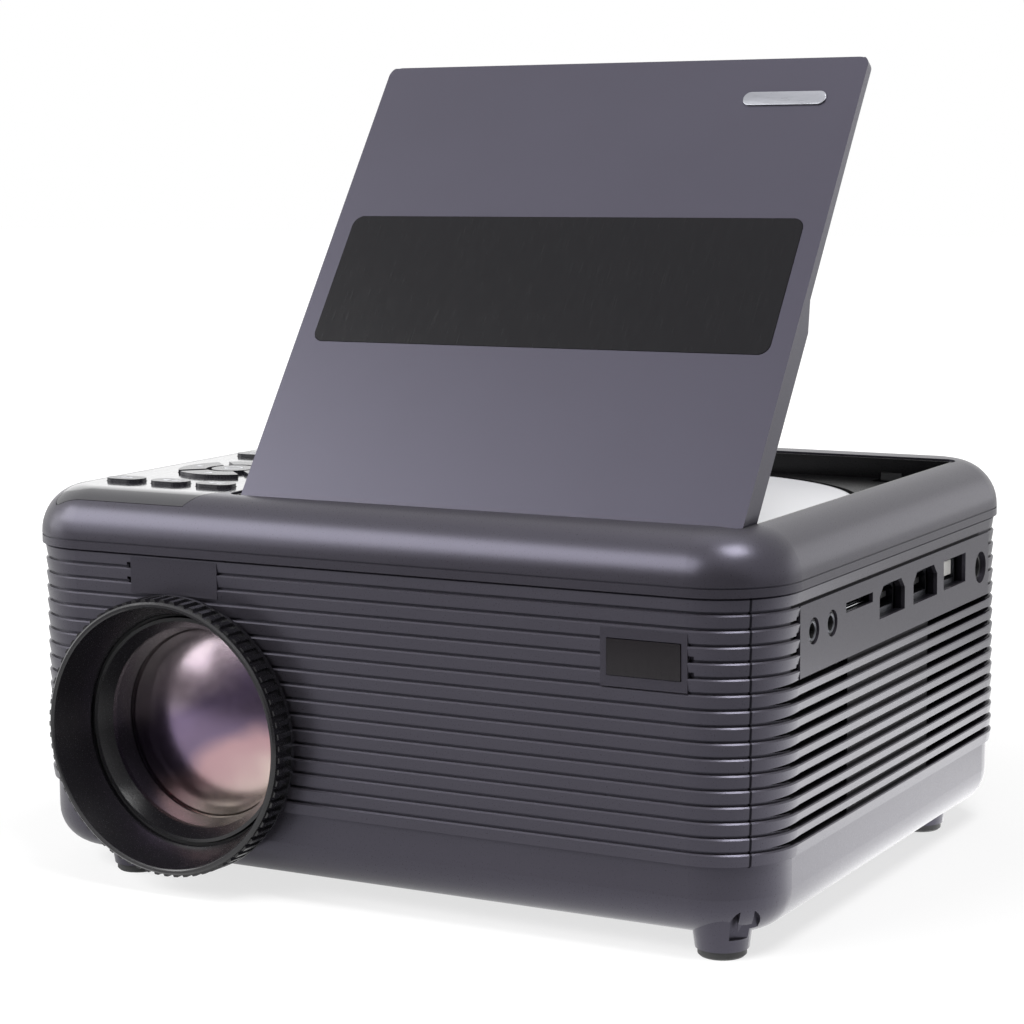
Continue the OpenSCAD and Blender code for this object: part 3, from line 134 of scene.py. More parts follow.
# %% [markdown]
# ## Moulded plastic
# Nearly every outer piece is injection-moulded ABS. The mould's steel is spark-eroded, which leaves a fine pebble on
# the plastic, so light spreads softly. The colour drifts a little where the melt flowed. The pebble of a real mould
# is about 0.1 mm. It is drawn at 0.3 mm or more here, because a finer one falls between the pixels. The charcoal
# pieces also mirror light with a faint violet tint, which a pigmented satin plastic does.

# %% Moulded plastic
def moulded(name, colour, flow_colour, roughness, grain=0.3, depth=0.004, flow=26, rough_spread=0.05, ior=1.54,
            tint="ffffff"):
    """Moulded plastic: grain and flow in mm, depth of the grain in mm, tint of what it mirrors."""
    material, tree, shader = new_finish(name, colour, IOR=ior, Roughness=roughness, Specular_Tint=linear(tint))
    place = add(tree, "TexCoord").outputs["Object"]
    drift = add(tree, "TexNoise", {"Scale": per_mm(flow), "Detail": 2.0}, {"Vector": place}).outputs["Fac"]
    tone = add(tree, "Mix", {"data_type": "RGBA", 6: linear(colour), 7: linear(flow_colour)}, {0: drift})
    pebble = add(tree, "TexNoise", {"Scale": per_mm(grain), "Detail": 3.0, "Roughness": 0.6}, {"Vector": place})
    sheen = add(tree, "MapRange", {"From Min": 0.3, "From Max": 0.7, "To Min": roughness - rough_spread,
                                   "To Max": roughness + rough_spread}, {"Value": pebble.outputs["Fac"]})
    relief = add(tree, "Bump", {"Strength": 1.0, "Distance": depth * MM}, {"Height": pebble.outputs["Fac"]})
    tree.links.new(tone.outputs[2], shader.inputs["Base Color"])
    tree.links.new(sheen.outputs["Result"], shader.inputs["Roughness"])
    tree.links.new(relief.outputs["Normal"], shader.inputs["Normal"])
    return material, tree, shader


CHARCOAL = ("2c2a2f", "28262b", 0.31)   # colour, colour where the melt flowed, roughness
VIOLET_TINT = "e9e5ff"

finishes = {}
finishes["charcoal_abs"], _, _ = moulded("charcoal_satin_abs", *CHARCOAL, tint=VIOLET_TINT)
finishes["lid_abs"], _, _ = moulded("lid_satin_abs", "33313a", "2f2d35", 0.34, grain=0.35, tint=VIOLET_TINT)
finishes["inner_black"], _, _ = moulded("matt_black_abs", "1c1c1e", "232325", 0.6, grain=0.5, depth=0.01)
finishes["key_plastic"], _, _ = moulded("key_black_abs", "1e1d22", "242328", 0.28, grain=0.3)
finishes["bay_black"], _, _ = moulded("bay_polished_abs", "060607", "09080a", 0.3, depth=0.001, ior=1.4)
finishes["ring_black"], _, _ = moulded("ring_black_polycarbonate", "131215", "18171a", 0.24, depth=0.002)
finishes["socket_black"], _, _ = moulded("socket_black_nylon", "141415", "1b1b1c", 0.45, grain=0.4)
finishes["hub_black"], _, _ = moulded("hub_black_acetal", "1a1a1c", "202022", 0.35)
finishes["sled_grey"], _, _ = moulded("sled_grey_pps", "4a4b50", "55565b", 0.5, grain=0.5, depth=0.01)
finishes["foot_rubber"], _, _ = moulded("foot_rubber", "19191a", "222223", 0.62, grain=0.4, depth=0.02, ior=1.52)
finishes["speaker_cone"], _, _ = moulded("speaker_paper_cone", "232224", "2f2d2e", 0.85, grain=0.7, depth=0.05)
print("moulded finishes", sorted(finishes))

# %% [markdown]
# ## The mould's parting line, and painted shade in the hollows
# The halves of a mould meet at the ribbed frame's right front corner, and the plastic keeps a hair-thin line there,
# from the lowest slat to the highest. A line this thin needs no geometry: the material darkens where a point lies on
# an upright plane through the corner. The same material also paints shade into what lies deep in the grooves, the
# vents and the socket holes: there the colour is painted dark and the plastic mirrors less, as painted shade.

# %% The mould's parting line, and painted shade in the hollows
PARTING_ANGLE = math.radians(45.0)   # in plan, from straight right towards the front
PARTING_WIDTH = 0.4 * MM             # a real one is about 0.1 mm, too fine for a pixel
CORNER_R = 20 * MM                   # of the body's outline, in plan
SLATS_IN = 0.8 * MM                  # from the body's outline to the slats
DEPTH = 1.0 * MM                     # what lies deeper than this is painted dark as shade,
SIDE_HALF = 63 * MM                  # along the straight part of a side, this far each way from its middle

low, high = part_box("ribbed_frame")
corner = Vector((high.x + SLATS_IN - CORNER_R, low.y - SLATS_IN + CORNER_R, 0.0))
outward = Vector((math.cos(PARTING_ANGLE), -math.sin(PARTING_ANGLE), 0.0))
across = Vector((math.sin(PARTING_ANGLE), math.cos(PARTING_ANGLE), 0.0))

ribbed, tree, shader = moulded("ribbed_charcoal_abs", *CHARCOAL, tint=VIOLET_TINT)
place = add(tree, "TexCoord").outputs["Object"]
from_corner = add(tree, "VectorMath", {"operation": "SUBTRACT", 1: corner}, {0: place}).outputs["Vector"]
beside = add(tree, "VectorMath", {"operation": "DOT_PRODUCT", 1: across}, {0: from_corner}).outputs["Value"]
out = add(tree, "VectorMath", {"operation": "DOT_PRODUCT", 1: outward}, {0: from_corner}).outputs["Value"]
near = add(tree, "MapRange", {"interpolation_type": "SMOOTHSTEP", "From Min": 0.5 * PARTING_WIDTH,
                              "From Max": PARTING_WIDTH, "To Min": 1.0, "To Max": 0.0},
           {"Value": add(tree, "Math", {"operation": "ABSOLUTE"}, {0: beside}).outputs[0]})
outside = add(tree, "Math", {"operation": "GREATER_THAN", 1: 0.5 * CORNER_R}, {0: out})
line = add(tree, "Math", {"operation": "MULTIPLY"}, {0: near.outputs["Result"], 1: outside.outputs[0]})

# Painted shade: what lies deep in the grooves, vents and socket holes is painted dark and mirrors less.
axes = add(tree, "SeparateXYZ", {}, {"Vector": place}).outputs
from_middle = add(tree, "Math", {"operation": "ABSOLUTE"}, {0: axes["X"]}).outputs[0]
along = add(tree, "Math", {"operation": "ABSOLUTE"}, {0: axes["Y"]}).outputs[0]
sunk = add(tree, "Math", {"operation": "LESS_THAN", 1: high.x - DEPTH}, {0: from_middle}).outputs[0]
straight = add(tree, "Math", {"operation": "LESS_THAN", 1: SIDE_HALF}, {0: along}).outputs[0]
deep = add(tree, "Math", {"operation": "MULTIPLY"}, {0: sunk, 1: straight}).outputs[0]
dim = add(tree, "Math", {"operation": "MAXIMUM"}, {0: deep, 1: line.outputs[0]}).outputs[0]

# The dark colour marks the parting line and paints shade into the hollows.
plain_tone = shader.inputs["Base Color"].links[0].from_socket
parting_line_and_painted_shade_tone = add(tree, "Mix", {"data_type": "RGBA", 7: linear("151418")}, {0: dim, 6: plain_tone})
tree.links.new(parting_line_and_painted_shade_tone.outputs[2], shader.inputs["Base Color"])
mirror = add(tree, "MapRange", {"To Min": 0.5, "To Max": 0.05}, {"Value": dim})
tree.links.new(mirror.outputs["Result"], shader.inputs["Specular IOR Level"])
print("parting line passes", [round(v / MM, 1) for v in corner + (CORNER_R - SLATS_IN) * outward])

# %% [markdown]
# ## Polished plastic
# The control plate, the lid's inlay and the remote window are polished. A polished face is never quite flat: it
# waves by a few thousandths of a millimetre, and dust and handling leave faint hairlines in the gloss.

# %% Polished plastic
def polished(name, colour, roughness, wave=18, wave_depth=0.004, ior=1.49, shine=0.5):
    """Polished plastic with a slow wave and hairline wear, in mm. shine is how much a square look mirrors."""
    material, tree, shader = new_finish(name, colour, IOR=ior, Roughness=roughness, Specular_IOR_Level=shine)
    place = add(tree, "TexCoord").outputs["Object"]
    slow = add(tree, "TexNoise", {"Scale": per_mm(wave), "Detail": 1.0}, {"Vector": place})
    stretch = add(tree, "Mapping", {"Scale": (1.0, 0.04, 0.04), "Rotation": (0.0, 0.0, 0.6)}, {"Vector": place})
    hairs = add(tree, "TexNoise", {"Scale": per_mm(0.25), "Detail": 2.0}, {"Vector": stretch.outputs["Vector"]})
    wear = add(tree, "MapRange", {"From Min": 0.45, "From Max": 0.8, "To Min": roughness, "To Max": roughness + 0.1},
               {"Value": hairs.outputs["Fac"]})
    relief = add(tree, "Bump", {"Strength": 1.0, "Distance": wave_depth * MM}, {"Height": slow.outputs["Fac"]})
    tree.links.new(wear.outputs["Result"], shader.inputs["Roughness"])
    tree.links.new(relief.outputs["Normal"], shader.inputs["Normal"])
    return material, tree, shader


finishes["gloss_black"], _, _ = polished("plate_polished_acrylic", "232227", 0.1, ior=1.7)
finishes["lid_gloss"], _, _ = polished("inlay_polished_acrylic", "0a090d", 0.2, shine=0.22)
finishes["smoked_window"], _, _ = polished("window_smoked_polycarbonate", "120e12", 0.10, ior=1.58)
print("polished finishes", len(finishes))

# %% [markdown]
# ## Metals
# Bright metals show how they were worked. Turned parts carry rings, extruded ones long draw lines, plated ones a
# faint cloudiness. A metal's colour is its reflection, so the colour goes on a shader with Metallic at 1.

# %% Metals
def metal(name, colour, roughness, line=0.2, along=(1.0, 1.0, 1.0), depth=0.002):
    """Worked metal. line is the spacing of the tool marks in mm, along how much each axis is stretched."""
    material, tree, shader = new_finish(name, colour, Metallic=1.0, Roughness=roughness)
    place = add(tree, "TexCoord").outputs["Object"]
    drawn = add(tree, "Mapping", {"Scale": along}, {"Vector": place})
    marks = add(tree, "TexNoise", {"Scale": per_mm(line), "Detail": 3.0}, {"Vector": drawn.outputs["Vector"]})
    haze = add(tree, "MapRange", {"From Min": 0.3, "From Max": 0.7, "To Min": roughness * 0.75,
                                  "To Max": roughness * 1.3}, {"Value": marks.outputs["Fac"]})
    relief = add(tree, "Bump", {"Strength": 1.0, "Distance": depth * MM}, {"Height": marks.outputs["Fac"]})
    tree.links.new(haze.outputs["Result"], shader.inputs["Roughness"])
    tree.links.new(relief.outputs["Normal"], shader.inputs["Normal"])
    return material, tree, shader


finishes["socket_steel"], _, _ = metal("tinned_steel", "55565b", 0.38, line=0.8)
finishes["bare_aluminium"], _, _ = metal("extruded_aluminium", "c9cacd", 0.34, line=0.3, along=(1.0, 0.03, 1.0))
finishes["motor_steel"], _, _ = metal("plated_steel", "c2c3c6", 0.22, line=0.6)
finishes["spring_steel"], _, _ = metal("spring_wire", "aeb0b4", 0.3, line=0.3)
finishes["screw_steel"], _, _ = metal("zinc_plated_steel", "b0b1b5", 0.32, line=0.4)
finishes["brass_screw"], _, _ = metal("rolled_brass", "d3b366", 0.22, line=0.25, along=(0.1, 1.0, 0.1))
finishes["brass_insert"], _, _ = metal("turned_brass", "cfae62", 0.28, line=0.2, along=(0.1, 0.1, 1.0))
gold, _, _ = metal("gold_plated_contact", "e3bf6a", 0.2, line=0.5)
silver, _, _ = metal("satin_silver_badge", "8f9096", 0.36, line=0.15, along=(0.04, 1.0, 1.0))
print("metals", len(finishes))

# %% [markdown]
# ## Glass and clear plastic
# Lens glass lets light through and mirrors a little of it. The front lens has a thin coating, which tints what it
# mirrors purple. Reflections are also painted into the glass's colour, which runs from a painted pale grey reflection
# at its upper left through the coating's purple in the middle to a painted cream reflection at its lower right.
# Behind it stand more lenses, each of which mirrors light too, so the whole pack shines much more than one pane. One
# surface
# stands for them all here: part of it is set as metal, with the coating's purple and the painted reflections as
# colours.

# %% Glass and clear plastic
def clear(name, colour, ior, roughness=0.02, film_nm=0.0, film_ior=1.33, speck=2.0):
    """Glass or clear plastic with faint streaks of cleaning, and a thin film where film_nm isn't 0."""
    material, tree, shader = new_finish(name, colour, IOR=ior, Roughness=roughness, Transmission_Weight=1.0,
                                        Thin_Film_Thickness=film_nm, Thin_Film_IOR=film_ior)
    place = add(tree, "TexCoord").outputs["Object"]
    smear = add(tree, "TexNoise", {"Scale": per_mm(speck), "Detail": 4.0}, {"Vector": place})
    haze = add(tree, "MapRange", {"From Min": 0.4, "From Max": 0.8, "To Min": roughness, "To Max": roughness + 0.05},
               {"Value": smear.outputs["Fac"]})
    tree.links.new(haze.outputs["Result"], shader.inputs["Roughness"])
    return material, tree, shader


finishes["clear_glass"], _, _ = clear("pressed_glass", "f2f6f4", 1.52)
finishes["clear_sheet"], _, _ = clear("grooved_acrylic_sheet", "eef2f5", 1.49, roughness=0.08)
finishes["pickup_glass"], _, _ = clear("pickup_lens", "cfe6f2", 1.5, film_nm=420.0, film_ior=1.9)

COATING_SHARE = 0.72   # of the surface that is set as metal

coated, tree, shader = clear("coated_lens_glass", "8d7a98", 1.62, roughness=0.19)
shader.inputs["Metallic"].default_value = COATING_SHARE
low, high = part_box("front_lens")
LENS_AXIS = Vector(((low.x + high.x) / 2, 0.0, (low.z + high.z) / 2))
GLASS_R = (high.x - low.x) / 2
SLANT = Vector((0.5, 0.0, -0.866))   # across the glass, from its upper left to its lower right
place = add(tree, "TexCoord").outputs["Object"]
from_axis = add(tree, "VectorMath", {"operation": "SUBTRACT", 1: LENS_AXIS}, {0: place}).outputs["Vector"]
cloud = add(tree, "TexNoise", {"Scale": per_mm(14), "Detail": 1.0}, {"Vector": place}).outputs["Fac"]
down = add(tree, "VectorMath", {"operation": "DOT_PRODUCT", 1: SLANT / GLASS_R}, {0: from_axis}).outputs["Value"]
bent = add(tree, "Math", {"operation": "MULTIPLY_ADD", 1: 0.5}, {0: cloud, 2: down}).outputs[0]
reach = add(tree, "MapRange", {"From Min": -0.75, "From Max": 1.25}, {"Value": bent})
# Painted reflection: the ramp paints pale grey at the glass's upper left and cream at its lower right, round the
# coating's purple.
coating_and_painted_reflection = add(tree, "ValToRGB", links={"Fac": reach.outputs["Result"]})
coating_and_painted_reflection.color_ramp.interpolation = "EASE"
coating_and_painted_reflection.color_ramp.elements[0].color = linear("e2d6d8")
coating_and_painted_reflection.color_ramp.elements[1].color = linear("f6e6da")
for position, colour in ((0.22, "c8b6c2"), (0.42, "8d7a9a"), (0.58, "86738f"), (0.74, "cfa9ae")):
    coating_and_painted_reflection.color_ramp.elements.new(position).color = linear(colour)
tree.links.new(coating_and_painted_reflection.outputs["Color"], shader.inputs["Base Color"])
finishes["coated_glass"] = coated
print("clear finishes", len(finishes), "front glass", round(2 * GLASS_R / MM, 1), "mm across")

# %% [markdown]
# ## Boards, screen and disc
# The circuit board is glass fibre under green lacquer, with copper tracks that show as a paler green. The
# disc is clear plastic over a metal layer. Its face is printed white from 22 mm out, bare metal shows inside that,
# and clear plastic round the hole. Fine turned rings run round all of it.

# %% Boards, screen and disc
board, tree, shader = new_finish("green_circuit_board", "14472c", IOR=1.5, Roughness=0.32)
place = add(tree, "TexCoord").outputs["Object"]
tracks = add(tree, "TexBrick", {"Scale": per_mm(3.0), "Mortar Size": 0.06, "Color1": linear("14472c"),
                                "Color2": linear("164e31"), "Mortar": linear("2c7a4a")}, {"Vector": place})
tree.links.new(tracks.outputs["Color"], shader.inputs["Base Color"])
finishes["circuit_board"] = board

finishes["led_board"], _, _ = metal("led_aluminium_board", "e3d9a8", 0.4, line=0.5)
finishes["lcd_glass"], _, _ = polished("lcd_screen", "2a2f38", 0.08, ior=1.52)

low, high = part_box("disc")
DISC_MIDDLE = (low + high) / 2
DISC_R = (high.x - low.x) / 2
label, tree, shader = new_finish("printed_disc_face", "efeff3", IOR=1.5, Roughness=0.25)
place = add(tree, "TexCoord").outputs["Object"]
from_hub = add(tree, "VectorMath", {"operation": "SUBTRACT", 1: DISC_MIDDLE}, {0: place}).outputs["Vector"]
level = add(tree, "VectorMath", {"operation": "MULTIPLY", 1: (1.0, 1.0, 0.0)}, {0: from_hub}).outputs["Vector"]
radius = add(tree, "VectorMath", {"operation": "LENGTH"}, {0: level}).outputs["Value"]
share = add(tree, "MapRange", {"From Min": 0.0, "From Max": DISC_R}, {"Value": radius})
zones = add(tree, "ValToRGB", links={"Fac": share.outputs["Result"]})
zones.color_ramp.interpolation = "CONSTANT"
zones.color_ramp.elements[0].color = linear("cfd4d8")
zones.color_ramp.elements[1].color = linear("d5d5da")
zones.color_ramp.elements[1].position = 0.985
for start_mm, colour in ((17.0, "a9adb4"), (19.0, "c3c6cc"), (22.0, "efeff3")):
    zones.color_ramp.elements.new(start_mm * MM / DISC_R).color = linear(colour)
rings = add(tree, "Math", {"operation": "SINE"},
            {0: add(tree, "Math", {"operation": "MULTIPLY", 1: 2 * math.pi * per_mm(0.8)}, {0: radius}).outputs[0]})
relief = add(tree, "Bump", {"Distance": 0.002 * MM}, {"Height": rings.outputs[0]})
tree.links.new(zones.outputs["Color"], shader.inputs["Base Color"])
tree.links.new(relief.outputs["Normal"], shader.inputs["Normal"])
finishes["disc_silver"] = label

# %% [markdown]
# ## Put the finishes on the construction
# Each construction node already names its slot, so one loop gives every one its finish. The ribbed frame gets the
# finish with the parting line and the painted shade in its hollows.

# %% Put the finishes on the construction
for name, node in frame["nodes"].items():
    for holder in node.material_slots:
        holder.material = ribbed if name == "ribbed_frame" else finishes[holder.material.name.split(".")[0]]
print("nodes dressed", len(frame["nodes"]))

# %% [markdown]
# ## Helpers for fine pieces
# A fine piece starts as an empty bmesh. Small shapes are put in it where they belong, and one function turns it into
# an object with its finish, which rides on the body that carries it. The corners of a moulded or stamped block are
# never sharp, so a block gets a small bevel.

# %% Helpers for fine pieces
def bevelled(form, edges, width, segments=2):
    """Rounds edges by width mm."""
    bmesh.ops.bevel(form, geom=edges, offset=width * MM, offset_type="OFFSET", affect="EDGES", segments=segments,
                    profile=0.5, material=-1)


def block(form, low, high, edge=0.0):
    """A block between two corners, its edges rounded by edge mm."""
    verts = bmesh.ops.create_cube(form, size=1.0)["verts"]
    bmesh.ops.scale(form, vec=high - low, verts=verts)
    bmesh.ops.translate(form, vec=(low + high) / 2, verts=verts)
    if edge:
        bevelled(form, list({e for v in verts for e in v.link_edges}), edge)
    return verts


def turned(form, section, origin, axis, steps=48):
    """Spins a closed section of (radius, distance along axis) in mm round an axis through origin."""
    side = axis.orthogonal().normalized()
    verts = [form.verts.new(origin + side * r * MM + axis * along * MM) for r, along in section]
    edges = [form.edges.new((verts[i], verts[(i + 1) % len(verts)])) for i in range(len(verts))]
    bmesh.ops.spin(form, geom=verts + edges, cent=origin, axis=axis, dvec=(0.0, 0.0, 0.0),
                   angle=2 * math.pi, steps=steps, use_merge=True)


def finished(form, name, finish, body):
    """Makes an object of a bmesh, in place, smooth except over sharp edges, riding on a body."""
    bmesh.ops.remove_doubles(form, verts=form.verts, dist=0.0005 * MM)
    bmesh.ops.recalc_face_normals(form, faces=form.faces)
    mesh = bpy.data.meshes.new(name)
    form.to_mesh(mesh)
    form.free()
    mesh.shade_smooth()
    mesh.set_sharp_from_angle(angle=math.radians(35))
    mesh.materials.append(finish)
    piece = bpy.data.objects.new(name, mesh)
    bpy.context.scene.collection.objects.link(piece)
    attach(piece, body)


MOUNTS = {mount["name"]: mount for mount in frame["record"]["mounts"]}
RIGHT, BACK, UP = Vector((1, 0, 0)), Vector((0, 1, 0)), Vector((0, 0, 1))
print("interfaces to place pieces by", sorted(MOUNTS))

# %% [markdown]
# ## Collars of the round sockets
# A jack is a nylon block with a nickel collar pressed in its mouth. The collar is what shines in the dark round
# hole. It is a turned ring, so a small section is spun round the socket's axis.

# %% Collars of the round sockets
for mount, node in (("headphone_bore", "headphone_jack"), ("av_bore", "av_jack")):
    mouth = Vector(MOUNTS[mount]["pos_m"])
    mouth.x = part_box(node)[1].x
    form = bmesh.new()
    turned(form, [(1.8, -0.3), (2.5, -0.3), (2.5, 0.05), (2.3, 0.25), (2.0, 0.25), (1.8, 0.05)], mouth, RIGHT)
    finished(form, node + "_collar", finishes["socket_steel"], "case")
    print(node, "collar at", [round(v / MM, 1) for v in mouth])

# %% [markdown]
# ## Pin of the power inlet
# The plug's bore goes over a plated pin with a round nose. The construction has the pin in the block's black plastic,
# so a thin plated sleeve goes over it.

# %% Pin of the power inlet
inlet = Vector(MOUNTS["power_inlet"]["pos_m"])
form = bmesh.new()
turned(form, [(1.06, -10.0), (1.16, -10.0), (1.16, -1.9), (0.9, -1.45), (0.4, -1.3), (0.02, -1.3), (0.02, -1.55),
              (1.06, -1.7)], inlet, RIGHT)
finished(form, "power_pin_sleeve", finishes["motor_steel"], "case")
form = bmesh.new()
turned(form, [(2.8, -0.35), (3.7, -0.35), (3.7, 0.02), (3.5, 0.12), (2.9, 0.12), (2.8, 0.05)], inlet, RIGHT)
finished(form, "power_inlet_rim", finishes["socket_black"], "case")
print("power pin at", [round(v / MM, 1) for v in inlet])

# %% [markdown]
# ## Tongues and contacts of the wide sockets
# Inside a wide socket stands a moulded tongue with a row of contacts on it, and the hollow round it looks black. The
# tongue is a block that covers the construction's plain one. The contacts are a loop of small bevelled strips, and a
# dark plate closes the hollow's end.

# %% Tongues and contacts of the wide sockets
def socket_block(form, mouth, deep, half_y, heights, edge=0.0):
    """A block in a socket: from deep[0] to deep[1] mm behind its mouth, half_y each way, between two heights."""
    block(form, mouth + Vector((-deep[0], -half_y, heights[0])) * MM,
          mouth + Vector((-deep[1], half_y, heights[1])) * MM, edge)


def contact_row(form, mouth, deep, count, pitch, width, height):
    """A row of strips in a socket, from deep[0] to deep[1] mm behind its mouth, lying at a height."""
    for i in range(count):
        strip = mouth + BACK * (i - (count - 1) / 2) * pitch * MM
        socket_block(form, strip, deep, width / 2, (height, height + CONTACT_T), CONTACT_EDGE)


CONTACT_T, CONTACT_EDGE = 0.09, 0.03   # mm thick, mm rounded
VIDEO_CONTACTS, SERIAL_CONTACTS = 10, 4

for number in (1, 2):
    mouth = Vector(MOUNTS[f"video_opening_{number}"]["pos_m"])
    mouth.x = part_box(f"video_socket_{number}")[1].x
    form = bmesh.new()
    socket_block(form, mouth, (9.9, 1.1), 5.6, (-0.8, 0.75), 0.2)     # the tongue
    socket_block(form, mouth, (9.45, 8.9), 6.9, (-2.45, 2.45))        # the plate that closes the hollow
    finished(form, f"video_tongue_{number}", finishes["socket_black"], "case")
    form = bmesh.new()
    contact_row(form, mouth, (8.6, 1.5), VIDEO_CONTACTS, 1.0, 0.45, 0.74)
    finished(form, f"video_contacts_{number}", gold, "case")

mouth = Vector(MOUNTS["serial_opening"]["pos_m"])
mouth.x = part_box("usb_socket")[1].x
form = bmesh.new()
socket_block(form, mouth, (11.8, 0.4), 5.75, (-1.7, 2.2), 0.25)
white, _, _ = moulded("tongue_white_nylon", "f4f2ee", "fbfaf6", 0.4, grain=0.4)
finished(form, "serial_tongue", white, "case")
form = bmesh.new()
contact_row(form, mouth, (9.8, 2.2), SERIAL_CONTACTS, 2.4, 1.1, 2.17)
finished(form, "serial_contacts", gold, "case")
print("contacts", 2 * VIDEO_CONTACTS + SERIAL_CONTACTS)

# %% [markdown]
# ## Lip of the card slot
# A folded steel lip guides the card in. It is a thin bevelled strip along the slot's lower edge.

# %% Lip of the card slot
mouth = Vector(MOUNTS["card_opening"]["pos_m"])
mouth.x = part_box("card_slot")[1].x
form = bmesh.new()
socket_block(form, mouth, (0.4, -1.1), 6.6, (-0.95, -0.65), 0.08)   # it stands out, so it ends before the mouth
finished(form, "card_lip", finishes["motor_steel"], "case")
print("card lip", [round(v / MM, 1) for v in mouth])

# %% [markdown]
# ## Marks on the keys
# Keys carry printed marks that every player shares: arrows, a triangle for play, bars for the menu. A mark is a thin
# layer of pale ink, built flat on the key's top from discs, bars and triangles that bmesh creates.

# %% Marks on the keys
INK_MM = 0.03
ink, _, _ = moulded("key_ink", "b9bac0", "c6c7cc", 0.45, grain=0.2, depth=0.002)


def bar_mark(form, middle, width, length):
    """A flat bar, width along X and length along Y."""
    half = Vector((width / 2 * MM, length / 2 * MM, INK_MM / 2 * MM))
    block(form, middle - half, middle + half)


def arrow_mark(form, middle, radius, turn):
    """A flat triangle. Its tip points left where turn is 0, so it points against the direction of turn."""
    place = Matrix.Translation(middle) @ Matrix.Rotation(turn, 4, "Z")
    bmesh.ops.create_cone(form, cap_ends=True, segments=3, radius1=radius * MM, radius2=radius * MM,
                          depth=INK_MM * MM, matrix=place @ Matrix.Rotation(math.radians(90), 4, "Z"))


def ring_mark(form, middle, radius, width):
    """A flat ring."""
    h = INK_MM / 2
    turned(form, [(radius - width / 2, -h), (radius + width / 2, -h), (radius + width / 2, h),
                  (radius - width / 2, h)], middle, UP, steps=36)


def key_top(key):
    """The middle of a key's top, where ink lies."""
    low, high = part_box(key)
    return Vector(((low.x + high.x) / 2, (low.y + high.y) / 2, high.z + INK_MM / 2 * MM))


ARROWS_OUT = 11   # mm from the middle of the ok key to the four arrows

forms = {}
hub = key_top("ok_key")
for key, turn in (("right_key", 0), ("up_key", 90), ("left_key", 180), ("down_key", 270)):
    form = forms[key] = bmesh.new()
    toward = Vector((math.cos(math.radians(turn)), math.sin(math.radians(turn)), 0.0))
    arrow_mark(form, hub + toward * ARROWS_OUT * MM, 1.3, math.radians(turn))
form = forms["ok_key"] = bmesh.new()
ring_mark(form, hub, 2.2, 0.45)
form = forms["play_key"] = bmesh.new()
arrow_mark(form, key_top("play_key") - RIGHT * 1.2 * MM, 1.5, 0.0)
for step in (1.2, 2.3):
    bar_mark(form, key_top("play_key") + RIGHT * step * MM, 0.5, 2.6)
for key, way in (("previous_key", -1), ("next_key", 1)):
    form = forms[key] = bmesh.new()
    for step in (-1.1, 0.7):
        arrow_mark(form, key_top(key) + RIGHT * way * step * MM, 1.15, math.radians(0 if way > 0 else 180))
    bar_mark(form, key_top(key) + RIGHT * way * 2.0 * MM, 0.45, 2.2)
form = forms["power_key"] = bmesh.new()
ring_mark(form, key_top("power_key"), 1.4, 0.4)
bar_mark(form, key_top("power_key") + BACK * 1.4 * MM, 0.45, 1.8)
form = forms["menu_key"] = bmesh.new()
for step in (-1.1, 0.0, 1.1):
    bar_mark(form, key_top("menu_key") + BACK * step * MM, 3.4, 0.42)
form = forms["source_key"] = bmesh.new()
for side in (-1, 1):
    bar_mark(form, key_top("source_key") + BACK * side * 1.3 * MM, 4.2, 0.4)
    bar_mark(form, key_top("source_key") + RIGHT * side * 1.9 * MM, 0.4, 2.6)
arrow_mark(forms["source_key"], key_top("source_key"), 0.9, 0.0)
for key, form in forms.items():
    finished(form, key + "_mark", ink, key)
print("marks", len(forms))

# %% [markdown]
# ## Badge place on the lid
# A plain silver pill sits near the lid's free corner. It is laid out on the closed lid's plate, as a maker would
# draw it, then turned with the lid about the hinge, whose place the joint gives.

# %% Badge place on the lid
LID_OPEN = math.radians(54.6)
hinge = next(joint for joint in frame["record"]["behaviour"]["joints"] if joint["name"] == "lid_hinge")
hinge_point = Vector(hinge["pos_m"])
BADGE_X, BADGE_S, BADGE_L, BADGE_W = 73.0, 119.3, 22.0, 4.0   # mm right of the middle, up the plate, long, wide
PLATE_H = 4.0                                                 # mm from the hinge axis to the plate's outer face
form = bmesh.new()
badge_middle = Vector((BADGE_X * MM, hinge_point.y + BADGE_S * MM, hinge_point.z + (PLATE_H + 0.15) * MM))
half = Vector((BADGE_L / 2 * MM, BADGE_W / 2 * MM, 0.3 * MM))
verts = block(form, badge_middle - half, badge_middle + half)
upright = [e for e in form.edges if abs(e.verts[0].co.z - e.verts[1].co.z) > 0.4 * MM]
bevelled(form, upright, BADGE_W / 2 - 0.05, segments=10)
rim = [e for e in form.edges if min(v.co.z for v in e.verts) > badge_middle.z + 0.2 * MM]
bevelled(form, rim, 0.14, segments=3)
bmesh.ops.rotate(form, cent=hinge_point, matrix=Matrix.Rotation(LID_OPEN, 3, "X"), verts=form.verts)
finished(form, "lid_badge", silver, "lid")
print("badge", [round(v / MM, 1) for v in badge_middle])

# %% [markdown]
# ## Balls of the turntable
# Three steel balls in the hub's side snap under the disc's edge and hold it. Each is a small sphere half sunk in the
# hub, set out by a loop.

